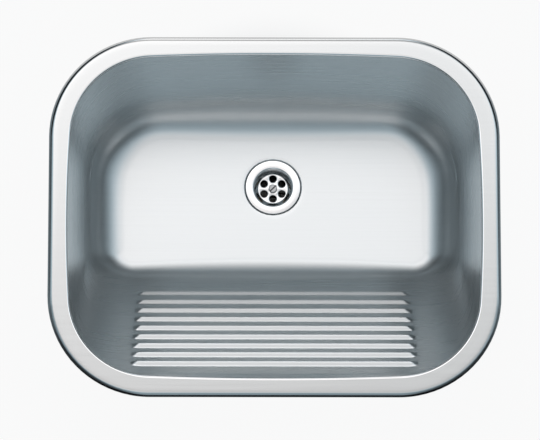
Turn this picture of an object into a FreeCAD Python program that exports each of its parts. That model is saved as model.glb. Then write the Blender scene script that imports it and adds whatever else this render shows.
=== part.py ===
import FreeCAD
import Part
import Sketcher

import math
import os

# Laundry sink: a pressed steel bowl with a sloped washboard front, let into a worktop.
# The origin is the middle of the opening on the worktop plane, +X right, +Y to the back, +Z up.
# All sizes are in millimetres and degrees.

SIZES = {
    # Sheet and rim
    "gauge": 1.0,               # thickness of the pressed sheet
    "mouth_width": 494.5,       # opening at the rim, left to right
    "mouth_length": 396.5,      # opening at the rim, front to back
    "mouth_corner": 100.0,      # corner radius of the opening
    "side_bow": 1700.0,         # radius of the bowed left and right edges
    "end_bow": 3500.0,          # radius of the bowed back and front edges
    "mouth_round": 4.0,         # rounding from the rim down into the bowl
    "rim_side": 22.75,          # rim outside the opening, left and right
    "rim_end": 21.75,           # rim outside the opening, back and front
    "rim_corner": 122.5,        # outer corner radius of the rim
    "rim_height": 4.0,          # top of the rim over the worktop
    "bevel_run": 4.0,           # width of the sloping outer edge
    "lip_depth": 0.7,           # upright part of the outer edge
    "lip_clearance": 0.3,       # outer edge over the worktop
    # Bowl
    "bowl_depth": 200.0,        # rim top to floor
    "side_draft": 25.5,         # how far each side wall leans in
    "back_draft": 25.0,         # how far the back wall leans in
    "floor_back_corner": 92.0,  # corner radius at the floor, back
    "floor_front_corner": 50.0,  # corner radius at the floor, front
    "floor_round": 40.0,        # rounding between walls and floor
    # Washboard
    "panel_top": 14.0,          # rim top to the upper edge of the flat panel
    "panel_setback": 9.0,       # front of the opening to the upper edge of the panel
    "panel_angle": 49.0,        # slope of the panel
    "panel_corner": 85.0,       # corner radius beside the upper edge of the panel
    "rib_count": 9,
    "rib_pitch": 21.35,         # along the slope
    "rib_from_top": 23.6,       # upper edge of the panel to the first crest
    "rib_length": 344.0,        # the uppermost rib
    "rib_shorten": 1.25,        # each rib is this much shorter than the one above
    "rib_height": 3.2,
    "rib_crest": 1.5,           # flat on top
    "rib_upper_run": 6.5,       # width of the upper flank
    "rib_lower_run": 3.5,       # width of the lower flank
    "rib_end_run": 8.0,         # length of the sloped ends
    "rib_round": 0.8,           # rounding along the crest
    "rib_root": 0.5,            # sunk into the sheet, so that rib and panel join
    # Foam seal and sound pads
    "seal_gap": 0.6,            # seal to the inside of the bevel
    "seal_width": 4.0,
    "pad_length": 100.0,
    "pad_width": 100.0,
    "pad_thickness": 2.5,
    "pad_gap": 14.8,            # waste recess to the pads
    # Waste
    "waste_from_back": 93.25,   # back edge of the floor to the middle of the waste
    "waste_hole": 53.0,
    "seat_diameter": 70.4,      # recess that takes the flange
    "seat_depth": 2.0,
    "flange_gasket_inset": 1.0, # flange's edge to the gasket's
    "flange_gasket_thickness": 1.0,
    "flange_gap": 1.2,          # flange to the wall of the recess
    "flange_thickness": 1.5,
    "flange_round": 0.7,
    "dish_mouth": 48.0,
    "dish_round": 3.0,
    "dish_depth": 9.5,
    "grid_diameter": 37.0,
    "strainer_holes": 6,
    "strainer_hole": 9.6,
    "strainer_circle": 25.4,
    "screw_diameter": 6.0,
    "screw_play": 0.3,          # round the screw in the strainer
    "screw_head": 10.6,
    "screw_head_height": 2.8,
    "screw_head_round": 1.2,
    "slot_width": 1.6,
    "slot_depth": 1.2,
    "slot_angle": 45.0,
    "body_gasket_width": 9.0,
    "body_gasket_thickness": 4.0,
    "body_flange": 76.0,
    "body_flange_thickness": 4.0,
    "body_play": 1.0,           # cup wall outside the edge of the waste hole
    "body_wall": 3.0,
    "cone_length": 11.0,
    "tail_diameter": 47.8,      # 1 1/2 inch pipe thread, over the crests
    "tail_wall": 3.9,
    "tail_length": 28.0,
    "spider_gap": 5.0,          # strainer to the boss
    "boss_diameter": 15.0,
    "arm_count": 3,
    "arm_width": 4.0,
    "arm_height": 8.0,
    "insert_diameter": 9.0,
    "insert_length": 14.0,
    "insert_below": 2.0,        # cup goes this much below the boss
    # Fixing clips
    "clip_spacing": 240.0,      # between the two clips at the back and at the front
    "clip_standoff": 2.5,       # wall to bracket
    "bracket_gauge": 1.5,
    "bracket_width": 16.0,
    "bracket_reach": 9.0,
    "bracket_height": 52.0,
    "bracket_bend": 2.0,        # outside of the bends
    "clip_thread": 4.0,         # thread diameter
    "clip_head": 7.0,
    "clip_head_height": 2.6,
    "clip_slot": 1.0,
    "clip_fit": 0.05,           # running fit round the screw and the collar
    "clip_gap": 0.3,            # clearance between moving faces
    "nut_size": 7.0,
    "nut_height": 4.0,
    "collar_diameter": 6.0,
    "collar_lip": 0.6,          # upset edge that keeps the claw on
    "claw_gauge": 2.0,
    "claw_reach": 22.0,
    "claw_tooth": 5.0,
}

doc = FreeCAD.newDocument("laundry_sink")
sheet = doc.addObject("Spreadsheet::Sheet", "sizes")
for row, (name, number) in enumerate(SIZES.items(), start=1):
    sheet.set(f"A{row}", name)
    sheet.set(f"B{row}", str(number))
    sheet.setAlias(f"B{row}", name)
doc.recompute()

# Derived sizes, as expressions on the sheet
HALF_WIDTH = "sizes.mouth_width / 2"
HALF_LENGTH = "sizes.mouth_length / 2"
RIM_UNDER = "(sizes.rim_height - sizes.gauge)"
LIP_TOP = "(sizes.lip_clearance + sizes.lip_depth)"
BEVEL_SLOPE = f"(sizes.bevel_run / (sizes.rim_height - {LIP_TOP}))"
BEVEL_WALL = f"(sizes.gauge * sqrt(1 + {BEVEL_SLOPE} ^ 2))"
UNDER_INSET = f"({BEVEL_SLOPE} * ({RIM_UNDER} - {LIP_TOP}) + {BEVEL_WALL})"
LIP_INSET = f"({BEVEL_WALL} - {BEVEL_SLOPE} * sizes.lip_depth)"

SIDE_SLOPE = "(sizes.side_draft / sizes.bowl_depth)"
BACK_SLOPE = "(sizes.back_draft / sizes.bowl_depth)"
PANEL_SLOPE = "(1 / tan(sizes.panel_angle * 1deg))"
PANEL_SHARE = "(sizes.panel_top / sizes.bowl_depth)"
PANEL_LEVEL = "(sizes.rim_height - sizes.panel_top)"
PANEL_EDGE = f"({HALF_LENGTH} - sizes.panel_setback)"
PANEL_BACK_CORNER = f"(sizes.mouth_corner + (sizes.floor_back_corner - sizes.mouth_corner) * {PANEL_SHARE})"
FLOOR = "(sizes.rim_height - sizes.bowl_depth)"
FLOOR_BACK = f"({HALF_LENGTH} - sizes.back_draft)"
FLOOR_FRONT = f"({PANEL_EDGE} - (sizes.bowl_depth - sizes.panel_top) * {PANEL_SLOPE})"

WASTE_Y = f"({FLOOR_BACK} - sizes.waste_from_back)"
SEAT = f"({FLOOR} - sizes.seat_depth)"
FLANGE_RADIUS = "(sizes.seat_diameter / 2 - sizes.flange_gap)"
FLANGE_GASKET_WIDTH = f"({FLANGE_RADIUS} - sizes.flange_gasket_inset - sizes.waste_hole / 2)"
FLANGE = f"({SEAT} + sizes.flange_gasket_thickness)"
FLOOR_UNDER = f"({FLOOR} - sizes.gauge)"
SEAT_UNDER = f"({SEAT} - sizes.gauge)"
BODY_TOP = f"({SEAT_UNDER} - sizes.body_gasket_thickness)"
GRID_TOP = f"({FLANGE} + sizes.flange_thickness - sizes.dish_depth)"
BOSS_TOP = f"({GRID_TOP} - sizes.flange_thickness - sizes.spider_gap)"

SCREW_OUT = ("(sizes.clip_standoff + sizes.bracket_gauge + sizes.clip_gap"
             " + sizes.nut_size / 2)")
SHELF_UNDER = f"({RIM_UNDER} - sizes.bracket_height)"
NUT_UNDER = f"({SHELF_UNDER} + sizes.bracket_gauge + sizes.clip_gap)"
CLAW_UNDER = f"({NUT_UNDER} + sizes.nut_height + sizes.clip_fit)"

Z_AXIS = FreeCAD.Vector(0, 0, 1)


def value(expression):
    """The number that an expression on the sheet gives."""
    return float(sheet.evalExpression(expression))


# Sketch helpers

def new_body(label):
    body = doc.addObject("PartDesign::Body", label)
    body.Label = label
    return body


def sketch_on(body, role, name, offset="0"):
    """An empty sketch parallel to one of the body's origin planes."""
    sketch = body.newObject("Sketcher::SketchObject", name)
    plane = next(item for item in body.Origin.OriginFeatures if item.Role == role)
    sketch.AttachmentSupport = [(plane, "")]
    sketch.MapMode = "FlatFace"
    sketch.setExpression("AttachmentOffset.Base.z", offset)
    return sketch


def bind(sketch, name, expression, *constraint):
    """Adds a dimension and ties it to the sheet."""
    index = sketch.addConstraint(Sketcher.Constraint(*constraint, value(expression)))
    sketch.renameConstraint(index, name)
    sketch.setExpression(f"Constraints.{name}", expression)


def place_point(sketch, name, geometry, end, x, y):
    """Ties one point of a sketch to its x and y expressions, measured from the origin."""
    for axis, other, text in (("X", -2, x), ("Y", -1, y)):
        if abs(value(text)) < 1e-9:
            sketch.addConstraint(Sketcher.Constraint("PointOnObject", geometry, end, other))
        else:
            bind(sketch, f"{name}_{axis}", text, f"Distance{axis}", -1, 1, geometry, end)


def draw_polygon(sketch, points):
    """A closed polygon through points given as pairs of expressions."""
    corners = [FreeCAD.Vector(value(x), value(y), 0) for x, y in points]
    count = len(corners)
    lines = []
    for index, start in enumerate(corners):
        end = corners[(index + 1) % count]
        lines.append(sketch.addGeometry(Part.LineSegment(start, end), False))
    for index, line in enumerate(lines):
        following = lines[(index + 1) % count]
        sketch.addConstraint(Sketcher.Constraint("Coincident", line, 2, following, 1))
    for index, (x, y) in enumerate(points):
        place_point(sketch, f"point{index}", lines[index], 1, x, y)


def draw_circle(sketch, name, diameter, x="0", y="0"):
    centre = FreeCAD.Vector(value(x), value(y), 0)
    circle = sketch.addGeometry(Part.Circle(centre, Z_AXIS, value(diameter) / 2), False)
    bind(sketch, f"{name}_diameter", diameter, "Diameter", circle)
    place_point(sketch, name, circle, 3, x, y)


def draw_rounded_rectangle(sketch, name, half_width, half_length, corner):
    """A rectangle about the origin with four corner arcs."""
    a, b, r = value(half_width), value(half_length), value(corner)
    quarter = math.pi / 2
    arcs = []
    lines = []
    centres = [(a - r, b - r), (r - a, b - r), (r - a, r - b), (a - r, r - b)]
    for turn, (x, y) in enumerate(centres):
        circle = Part.Circle(FreeCAD.Vector(x, y, 0), Z_AXIS, r)
        arc = Part.ArcOfCircle(circle, turn * quarter, (turn + 1) * quarter)
        arcs.append(sketch.addGeometry(arc, False))
    for turn in range(4):
        start = sketch.Geometry[arcs[turn]].EndPoint
        end = sketch.Geometry[arcs[(turn + 1) % 4]].StartPoint
        lines.append(sketch.addGeometry(Part.LineSegment(start, end), False))
    for turn in range(4):
        sketch.addConstraint(Sketcher.Constraint("Tangent", arcs[turn], 2, lines[turn], 1))
        sketch.addConstraint(Sketcher.Constraint("Tangent", lines[turn], 2, arcs[(turn + 1) % 4], 1))
        bind(sketch, f"{name}_corner{turn}", corner, "Radius", arcs[turn])
    bind(sketch, f"{name}_right", f"{half_width} - ({corner})", "DistanceX", -1, 1, arcs[0], 3)
    bind(sketch, f"{name}_back", f"{half_length} - ({corner})", "DistanceY", -1, 1, arcs[0], 3)
    bind(sketch, f"{name}_left", f"{corner} - ({half_width})", "DistanceX", -1, 1, arcs[2], 3)
    bind(sketch, f"{name}_front", f"{corner} - ({half_length})", "DistanceY", -1, 1, arcs[2], 3)


def corner_centre(side, side_radius, end, end_radius, near):
    """Where two circles meet, taking the point that is nearer to a guess."""
    span = end - side
    along = (side_radius ** 2 - end_radius ** 2 + span.Length ** 2) / (2 * span.Length)
    across = math.sqrt(side_radius ** 2 - along ** 2)
    foot = side + span * (along / span.Length)
    step = FreeCAD.Vector(-span.y, span.x, 0) * (across / span.Length)
    return min((foot + step, foot - step), key=lambda point: (point - near).Length)


def heading(centre, point):
    return math.atan2(point.y - centre.y, point.x - centre.x)


def draw_bowl_outline(sketch, half_width, back, front, back_corner, front_corner, front_bowed):
    """A bowl outline: bowed edges joined by tangent corner arcs, with a bowed or a straight front."""
    a, far, near = value(half_width), value(back), value(front)
    back_r, front_r = value(back_corner), value(front_corner)
    side_r, end_r = value("sizes.side_bow"), value("sizes.end_bow")
    middle = f"({back} - ({front})) / 2"
    point = FreeCAD.Vector
    right = point(a - side_r, value(middle), 0)
    top = point(0, far - end_r, 0)
    bottom = point(0, end_r - near, 0)
    guess = point(a - back_r, far - back_r, 0)
    back_c = corner_centre(right, side_r - back_r, top, end_r - back_r, guess)
    if front_bowed:
        guess = point(a - front_r, front_r - near, 0)
        front_c = corner_centre(right, side_r - front_r, bottom, end_r - front_r, guess)
        front_turn = heading(bottom, front_c)
    else:
        rise = front_r - near - right.y
        reach = math.sqrt((side_r - front_r) ** 2 - rise ** 2)
        front_c = point(right.x + reach, front_r - near, 0)
        front_turn = -math.pi / 2
    back_side, back_end = heading(right, back_c), heading(top, back_c)
    front_side = heading(right, front_c)

    def arc(centre, radius, start, end):
        circle = Part.Circle(centre, Z_AXIS, radius)
        return sketch.addGeometry(Part.ArcOfCircle(circle, start, end), False)

    def mirrored(centre, radius, start, end):
        flipped = point(-centre.x, centre.y, 0)
        return arc(flipped, radius, math.pi - end, math.pi - start)

    right_side = arc(right, side_r, front_side, back_side)
    right_back = arc(back_c, back_r, back_side, back_end)
    back_edge = arc(top, end_r, back_end, math.pi - back_end)
    left_back = mirrored(back_c, back_r, back_side, back_end)
    left_side = mirrored(right, side_r, front_side, back_side)
    left_front = mirrored(front_c, front_r, front_turn, front_side)
    if front_bowed:
        front_edge = arc(bottom, end_r, -math.pi - front_turn, front_turn)
    else:
        line = Part.LineSegment(point(-front_c.x, -near, 0), point(front_c.x, -near, 0))
        front_edge = sketch.addGeometry(line, False)
    right_front = arc(front_c, front_r, front_turn, front_side)

    ring = [right_side, right_back, back_edge, left_back, left_side, left_front, front_edge, right_front]
    for index, edge in enumerate(ring):
        following = ring[(index + 1) % len(ring)]
        sketch.addConstraint(Sketcher.Constraint("Tangent", edge, 2, following, 1))
    radii = {
        "right_side": (right_side, "sizes.side_bow"),
        "left_side": (left_side, "sizes.side_bow"),
        "back_edge": (back_edge, "sizes.end_bow"),
        "right_back": (right_back, back_corner),
        "left_back": (left_back, back_corner),
        "right_front": (right_front, front_corner),
        "left_front": (left_front, front_corner),
    }
    for name, (edge, radius) in radii.items():
        bind(sketch, name, radius, "Radius", edge)
    place_point(sketch, "right_centre", right_side, 3, f"{half_width} - sizes.side_bow", middle)
    place_point(sketch, "left_centre", left_side, 3, f"sizes.side_bow - ({half_width})", middle)
    place_point(sketch, "back_centre", back_edge, 3, "0", f"{back} - sizes.end_bow")
    if front_bowed:
        bind(sketch, "front_edge", "sizes.end_bow", "Radius", front_edge)
        place_point(sketch, "front_centre", front_edge, 3, "0", f"sizes.end_bow - ({front})")
    else:
        sketch.addConstraint(Sketcher.Constraint("Horizontal", front_edge))
        bind(sketch, "front_line", f"-({front})", "DistanceY", -1, 1, front_edge, 1)


# Feature helpers

def pad(body, sketch, name, length, reverse=False, midplane=False):
    feature = body.newObject("PartDesign::Pad", name)
    feature.Profile = sketch
    feature.Reversed = reverse
    feature.Midplane = midplane
    feature.setExpression("Length", length)
    return feature


def cut_through(body, sketch, name):
    """Cuts a sketch through the whole body, both ways."""
    doc.recompute()
    before = body.Shape.Volume
    feature = body.newObject("PartDesign::Pocket", name)
    feature.Profile = sketch
    feature.Type = "ThroughAll"
    feature.Midplane = True
    doc.recompute()
    if feature.Shape.Volume >= before:
        raise RuntimeError(f"{name} cuts nothing")
    return feature


def loft(body, kind, name, sketches):
    feature = body.newObject(f"PartDesign::{kind}", name)
    feature.Profile = sketches[0]
    feature.Sections = sketches[1:]
    feature.Ruled = True
    return feature


def revolve(body, name, points):
    """A solid of revolution about Z from a polygon of radius and height."""
    sketch = sketch_on(body, "XZ_Plane", f"{name}_profile")
    draw_polygon(sketch, points)
    feature = body.newObject("PartDesign::Revolution", name)
    feature.Profile = sketch
    feature.ReferenceAxis = (sketch, ["V_Axis"])
    feature.Angle = 360
    return feature


def pattern_round(body, feature, name, count):
    """Repeats a feature round the Z axis."""
    doc.recompute()
    copies = body.newObject("PartDesign::PolarPattern", name)
    copies.Originals = [feature]
    copies.Axis = (feature.Profile[0], ["N_Axis"])
    copies.Angle = 360
    copies.setExpression("Occurrences", count)
    body.Tip = copies
    return copies


def find_edges(shape, wanted):
    """Names of the edges whose box a test accepts."""
    return [f"Edge{number}" for number, edge in enumerate(shape.Edges, start=1) if wanted(edge)]


def at_height(edge, height):
    box = edge.BoundBox
    return abs(box.ZMin - height) < 1e-4 and abs(box.ZMax - height) < 1e-4


def round_edges(body, name, wanted, radius):
    """Fillets the edges of the body's last feature that a test accepts."""
    doc.recompute()
    base = body.Tip
    feature = body.newObject("PartDesign::Fillet", name)
    feature.Base = (base, find_edges(base.Shape, wanted))
    feature.setExpression("Radius", radius)
    return feature


def boolean(kind, name, base, tool):
    feature = doc.addObject(f"Part::{kind}", name)
    feature.Base = base
    feature.Tool = tool
    return feature


def fuse_all(name, shapes):
    feature = doc.addObject("Part::MultiFuse", name)
    feature.Shapes = shapes
    return feature


def lift(item, height, x="0", y="0"):
    """Places an object by expressions."""
    item.setExpression("Placement.Base.x", x)
    item.setExpression("Placement.Base.y", y)
    item.setExpression("Placement.Base.z", height)


# Sink bowl

def rim_outline(body, name, height, inset):
    sketch = sketch_on(body, "XY_Plane", name, height)
    draw_rounded_rectangle(
        sketch, name,
        f"{HALF_WIDTH} + sizes.rim_side - {inset}",
        f"{HALF_LENGTH} + sizes.rim_end - {inset}",
        f"sizes.rim_corner - {inset}")
    return sketch


def make_rim():
    """The rim as a flat plate with a bevelled, turned-down edge, hollow underneath."""
    body = new_body("rim_plate")
    outer = [
        rim_outline(body, "lip_lower", "sizes.lip_clearance", "0"),
        rim_outline(body, "lip_upper", LIP_TOP, "0"),
        rim_outline(body, "rim_upper", "sizes.rim_height", "sizes.bevel_run"),
    ]
    loft(body, "AdditiveLoft", "rim_solid", outer)
    hollow = [
        rim_outline(body, "hollow_lower", "sizes.lip_clearance", LIP_INSET),
        rim_outline(body, "hollow_upper", RIM_UNDER, UNDER_INSET),
    ]
    loft(body, "SubtractiveLoft", "rim_hollow", hollow)
    return body


def make_bowl_solid(label, grow):
    """The inside of the bowl, or its outside when grown by the gauge."""
    body = new_body(label)
    side = f"({grow} * sqrt(1 + {SIDE_SLOPE} ^ 2))"
    back = f"({grow} * sqrt(1 + {BACK_SLOPE} ^ 2))"
    front = f"({grow} * sqrt(1 + {PANEL_SLOPE} ^ 2))"
    mouth = sketch_on(body, "XY_Plane", f"{label}_mouth", "sizes.rim_height")
    draw_bowl_outline(
        mouth, f"{HALF_WIDTH} + {side}", f"{HALF_LENGTH} + {back}", f"{HALF_LENGTH} + {grow}",
        f"sizes.mouth_corner + {grow}", f"sizes.mouth_corner + {grow}", True)
    panel = sketch_on(body, "XY_Plane", f"{label}_panel", PANEL_LEVEL)
    draw_bowl_outline(
        panel, f"{HALF_WIDTH} - sizes.side_draft * {PANEL_SHARE} + {side}",
        f"{HALF_LENGTH} - sizes.back_draft * {PANEL_SHARE} + {back}", f"{PANEL_EDGE} + {front}",
        f"{PANEL_BACK_CORNER} + {grow}", f"sizes.panel_corner + {grow}", False)
    floor = sketch_on(body, "XY_Plane", f"{label}_floor", f"{FLOOR} - {grow}")
    draw_bowl_outline(
        floor, f"{HALF_WIDTH} - sizes.side_draft + {side} - {grow} * {SIDE_SLOPE}",
        f"{FLOOR_BACK} + {back} - {grow} * {BACK_SLOPE}",
        f"{FLOOR_FRONT} + {front} - {grow} * {PANEL_SLOPE}",
        f"sizes.floor_back_corner + {grow}", f"sizes.floor_front_corner + {grow}", False)
    loft(body, "AdditiveLoft", f"{label}_walls", [mouth, panel, floor])
    level = value(f"{FLOOR} - {grow}")
    round_edges(body, f"{label}_bend", lambda edge: at_height(edge, level), f"sizes.floor_round + {grow}")
    seat = sketch_on(body, "XY_Plane", f"{label}_seat", f"{FLOOR} - {grow}")
    draw_circle(seat, "seat", f"sizes.seat_diameter + 2 * {grow}", "0", WASTE_Y)
    pad(body, seat, f"{label}_recess", "sizes.seat_depth", reverse=True)
    return body


def make_rib(index, name, under):
    """One pressed rib, or the hollow behind it when it is drawn under by the gauge."""
    crest = f"(sizes.rib_height - {under})"
    base = "(0 - sizes.rib_root)" if under == "0" else f"(0 - {under} - sizes.rib_height)"
    rib = doc.addObject("Part::Wedge", name)
    half = f"((sizes.rib_length - {index} * sizes.rib_shorten) / 2)"

    def flank(run, height):
        """Reach of a flank beyond the middle of the crest at a height over the panel."""
        slope = f"({run} / sizes.rib_height)"
        return f"({slope} * (sizes.rib_height - {height}) - {under} * sqrt(1 + {slope} ^ 2))"

    upper, lower = "sizes.rib_upper_run", "sizes.rib_lower_run"
    ends = "sizes.rib_end_run"
    half_crest = "sizes.rib_crest / 2"
    tip = f"({half} - {ends})"
    sizes = {
        "Ymin": base,
        "Ymax": crest,
        "Xmax": f"{tip} + {flank(ends, base)}",
        "X2max": f"{tip} + {flank(ends, crest)}",
        "Xmin": f"0 - {tip} - {flank(ends, base)}",
        "X2min": f"0 - {tip} - {flank(ends, crest)}",
        "Zmax": f"{half_crest} + {flank(upper, base)}",
        "Z2max": f"{half_crest} + {flank(upper, crest)}",
        "Zmin": f"0 - {half_crest} - {flank(lower, base)}",
        "Z2min": f"0 - {half_crest} - {flank(lower, crest)}",
    }
    for size, expression in sizes.items():
        setattr(rib, size, value(expression))
        rib.setExpression(size, expression)
    down = f"(sizes.rib_from_top + {index} * sizes.rib_pitch)"
    rib.Placement.Rotation = FreeCAD.Rotation(FreeCAD.Vector(1, 0, 0), 90 - value("sizes.panel_angle"))
    lift(rib, f"{PANEL_LEVEL} - {down} * sin(sizes.panel_angle * 1deg)",
         y=f"{down} * cos(sizes.panel_angle * 1deg) - {PANEL_EDGE}")
    rib.setExpression("Placement.Rotation.Angle", "90 - sizes.panel_angle")
    return rib


def on_mouth(edge, height, beyond):
    """True for an edge at a height that runs along the opening."""
    box = edge.BoundBox
    limit_x = value(f"{HALF_WIDTH} + {beyond}")
    limit_y = value(f"{HALF_LENGTH} + {beyond}")
    inside = box.XMax < limit_x and box.XMin > -limit_x and box.YMax < limit_y and box.YMin > -limit_y
    return inside and at_height(edge, height)


def on_crest(edge):
    """True for an edge round the top of a rib."""
    slope = math.radians(value("sizes.panel_angle"))
    normal = FreeCAD.Vector(0, math.sin(slope), math.cos(slope))
    panel = FreeCAD.Vector(0, -value(PANEL_EDGE), value(PANEL_LEVEL))
    crest = value("sizes.rib_height")
    return all(abs((vertex.Point - panel).dot(normal) - crest) < 1e-4 for vertex in edge.Vertexes)


def make_sink_bowl():
    rim = make_rim()
    outside = make_bowl_solid("bowl_outside", "sizes.gauge")
    inside = make_bowl_solid("bowl_inside", "0")
    blank = boolean("Fuse", "bowl_blank", rim, outside)
    hollowed = boolean("Cut", "bowl_hollowed", blank, inside)
    count = int(value("sizes.rib_count"))
    ribs = [make_rib(index, f"rib_{index + 1}", "0") for index in range(count)]
    backs = [make_rib(index, f"rib_back_{index + 1}", "sizes.gauge") for index in range(count)]
    ribbed = fuse_all("bowl_ribbed", [hollowed] + ribs)
    pressed = boolean("Cut", "bowl_pressed", ribbed, fuse_all("rib_backs", backs))
    hole = doc.addObject("Part::Cylinder", "waste_opening")
    hole.setExpression("Radius", "sizes.waste_hole / 2")
    hole.setExpression("Height", "2 * sizes.gauge + sizes.seat_depth")
    lift(hole, f"{SEAT_UNDER} - sizes.gauge", y=WASTE_Y)
    pierced = boolean("Cut", "bowl_pierced", pressed, hole)
    doc.recompute()

    body = new_body("sink_bowl")
    body.BaseFeature = pierced
    top, under = value("sizes.rim_height"), value(RIM_UNDER)
    round_edges(body, "mouth_inside", lambda edge: on_mouth(edge, top, "sizes.gauge"), "sizes.mouth_round")
    round_edges(body, "mouth_outside", lambda edge: on_mouth(edge, under, "sizes.mouth_round"),
                "sizes.mouth_round - sizes.gauge")
    round_edges(body, "rib_crests", on_crest, "sizes.rib_round")
    return body


# Pieces under the rim and the floor

def make_rim_seal():
    body = new_body("rim_seal")
    sketch = sketch_on(body, "XY_Plane", "seal_ring", "0")
    outer = f"({UNDER_INSET} + sizes.seal_gap)"
    for name, inset in (("outer", outer), ("inner", f"({outer} + sizes.seal_width)")):
        draw_rounded_rectangle(
            sketch, name,
            f"{HALF_WIDTH} + sizes.rim_side - {inset}",
            f"{HALF_LENGTH} + sizes.rim_end - {inset}",
            f"sizes.rim_corner - {inset}")
    pad(body, sketch, "seal_strip", RIM_UNDER)
    return body


def make_sound_pad(label, side):
    slab = doc.addObject("Part::Box", label)
    slab.Label = label
    slab.setExpression("Length", "sizes.pad_length")
    slab.setExpression("Width", "sizes.pad_width")
    slab.setExpression("Height", "sizes.pad_thickness")
    middle = f"{side} * (sizes.seat_diameter / 2 + sizes.gauge + sizes.pad_gap + sizes.pad_length / 2)"
    lift(slab, f"{FLOOR_UNDER} - sizes.pad_thickness",
         x=f"{middle} - sizes.pad_length / 2", y=f"{WASTE_Y} - sizes.pad_width / 2")
    return slab


# Waste

def make_ring(label, inner_diameter, width, thickness, height):
    body = new_body(label)
    inner = f"({inner_diameter} / 2)"
    outer = f"({inner} + {width})"
    revolve(body, f"{label}_ring", [(inner, "0"), (outer, "0"), (outer, thickness), (inner, thickness)])
    lift(body, height, y=WASTE_Y)
    return body


def make_waste_strainer():
    body = new_body("waste_strainer")
    sheet_wall = "sizes.flange_thickness"
    mouth, grid = "(sizes.dish_mouth / 2)", "(sizes.grid_diameter / 2)"
    bore = "(sizes.screw_diameter / 2 + sizes.screw_play)"
    floor = f"({sheet_wall} - sizes.dish_depth)"
    under = "(0 - sizes.dish_depth)"
    revolve(body, "strainer_dish", [
        (FLANGE_RADIUS, "0"),
        (FLANGE_RADIUS, sheet_wall),
        (mouth, sheet_wall),
        (grid, floor),
        (bore, floor),
        (bore, under),
        (f"{grid} + {sheet_wall}", under),
        (f"{mouth} + {sheet_wall}", "0"),
    ])
    top, rim, lip = value(sheet_wall), value(FLANGE_RADIUS), value(mouth)
    round_edges(body, "flange_edge",
                lambda edge: at_height(edge, top) and abs(edge.BoundBox.XMax - rim) < 1e-4,
                "sizes.flange_round")
    round_edges(body, "dish_edge",
                lambda edge: at_height(edge, top) and abs(edge.BoundBox.XMax - lip) < 1e-4,
                "sizes.dish_round")
    sketch = sketch_on(body, "XY_Plane", "strainer_hole_circle")
    draw_circle(sketch, "hole", "sizes.strainer_hole", "0", "sizes.strainer_circle / 2")
    hole = cut_through(body, sketch, "strainer_hole")
    pattern_round(body, hole, "strainer_hole_ring", "sizes.strainer_holes")
    lift(body, FLANGE, y=WASTE_Y)
    return body


def cut_slot(body, name, width, depth, top, length):
    """A screwdriver slot across a head, cut down from its top."""
    sketch = sketch_on(body, "XY_Plane", f"{name}_outline", top)
    half_length, half_width = f"({length} / 2)", f"({width} / 2)"
    draw_polygon(sketch, [
        (f"0 - {half_length}", f"0 - {half_width}"),
        (half_length, f"0 - {half_width}"),
        (half_length, half_width),
        (f"0 - {half_length}", half_width),
    ])
    doc.recompute()
    before = body.Shape.Volume
    slot = body.newObject("PartDesign::Pocket", name)
    slot.Profile = sketch
    slot.setExpression("Length", depth)
    doc.recompute()
    if slot.Shape.Volume >= before:
        raise RuntimeError(f"{name} cuts nothing")
    return slot


def make_waste_screw():
    body = new_body("waste_screw")
    shank, head = "(sizes.screw_diameter / 2)", "(sizes.screw_head / 2)"
    tip = f"({BOSS_TOP} - sizes.insert_length - {GRID_TOP})"
    revolve(body, "screw_turned", [
        ("0", tip), (shank, tip), (shank, "0"), (head, "0"), (head, "sizes.screw_head_height"),
        ("0", "sizes.screw_head_height"),
    ])
    top = value("sizes.screw_head_height")
    round_edges(body, "head_dome", lambda edge: at_height(edge, top), "sizes.screw_head_round")
    cut_slot(body, "head_slot", "sizes.slot_width", "sizes.slot_depth", "sizes.screw_head_height",
             "sizes.screw_head")
    body.Placement.Rotation = FreeCAD.Rotation(Z_AXIS, value("sizes.slot_angle"))
    lift(body, GRID_TOP, y=WASTE_Y)
    body.setExpression("Placement.Rotation.Angle", "sizes.slot_angle")
    return body


def make_waste_body():
    body = new_body("waste_body")
    cup = "(sizes.waste_hole / 2 + sizes.body_play)"
    cup_outside = f"({cup} + sizes.body_wall)"
    flange = "(sizes.body_flange / 2)"
    tail = "(sizes.tail_diameter / 2)"
    tail_bore = f"({tail} - sizes.tail_wall)"
    boss_top = f"({BOSS_TOP} - {BODY_TOP})"
    cup_floor = f"({boss_top} - sizes.insert_length - sizes.insert_below)"
    tail_top = f"({cup_floor} - sizes.cone_length)"
    tail_end = f"({tail_top} - sizes.tail_length)"
    revolve(body, "body_turned", [
        (cup, "0"),
        (flange, "0"),
        (flange, "0 - sizes.body_flange_thickness"),
        (cup_outside, "0 - sizes.body_flange_thickness"),
        (cup_outside, cup_floor),
        (tail, tail_top),
        (tail, tail_end),
        (tail_bore, tail_end),
        (tail_bore, tail_top),
        (cup, cup_floor),
    ])
    arm = sketch_on(body, "XY_Plane", "arm_outline", f"{boss_top} - sizes.insert_length")
    half_arm, reach = "(sizes.arm_width / 2)", f"({cup} + sizes.body_wall / 2)"
    draw_polygon(arm, [
        ("0", f"0 - {half_arm}"),
        (reach, f"0 - {half_arm}"),
        (reach, half_arm),
        ("0", half_arm),
    ])
    arm_pad = pad(body, arm, "spider_arm", "sizes.arm_height")
    pattern_round(body, arm_pad, "spider", "sizes.arm_count")
    boss = sketch_on(body, "XY_Plane", "boss_outline", boss_top)
    draw_circle(boss, "boss", "sizes.boss_diameter")
    pad(body, boss, "boss", "sizes.insert_length", reverse=True)
    bore = sketch_on(body, "XY_Plane", "insert_outline", boss_top)
    draw_circle(bore, "insert", "sizes.insert_diameter + 2 * sizes.clip_fit")
    cut_through(body, bore, "insert_bore")
    lift(body, BODY_TOP, y=WASTE_Y)
    return body


# Fixing clips

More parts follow.
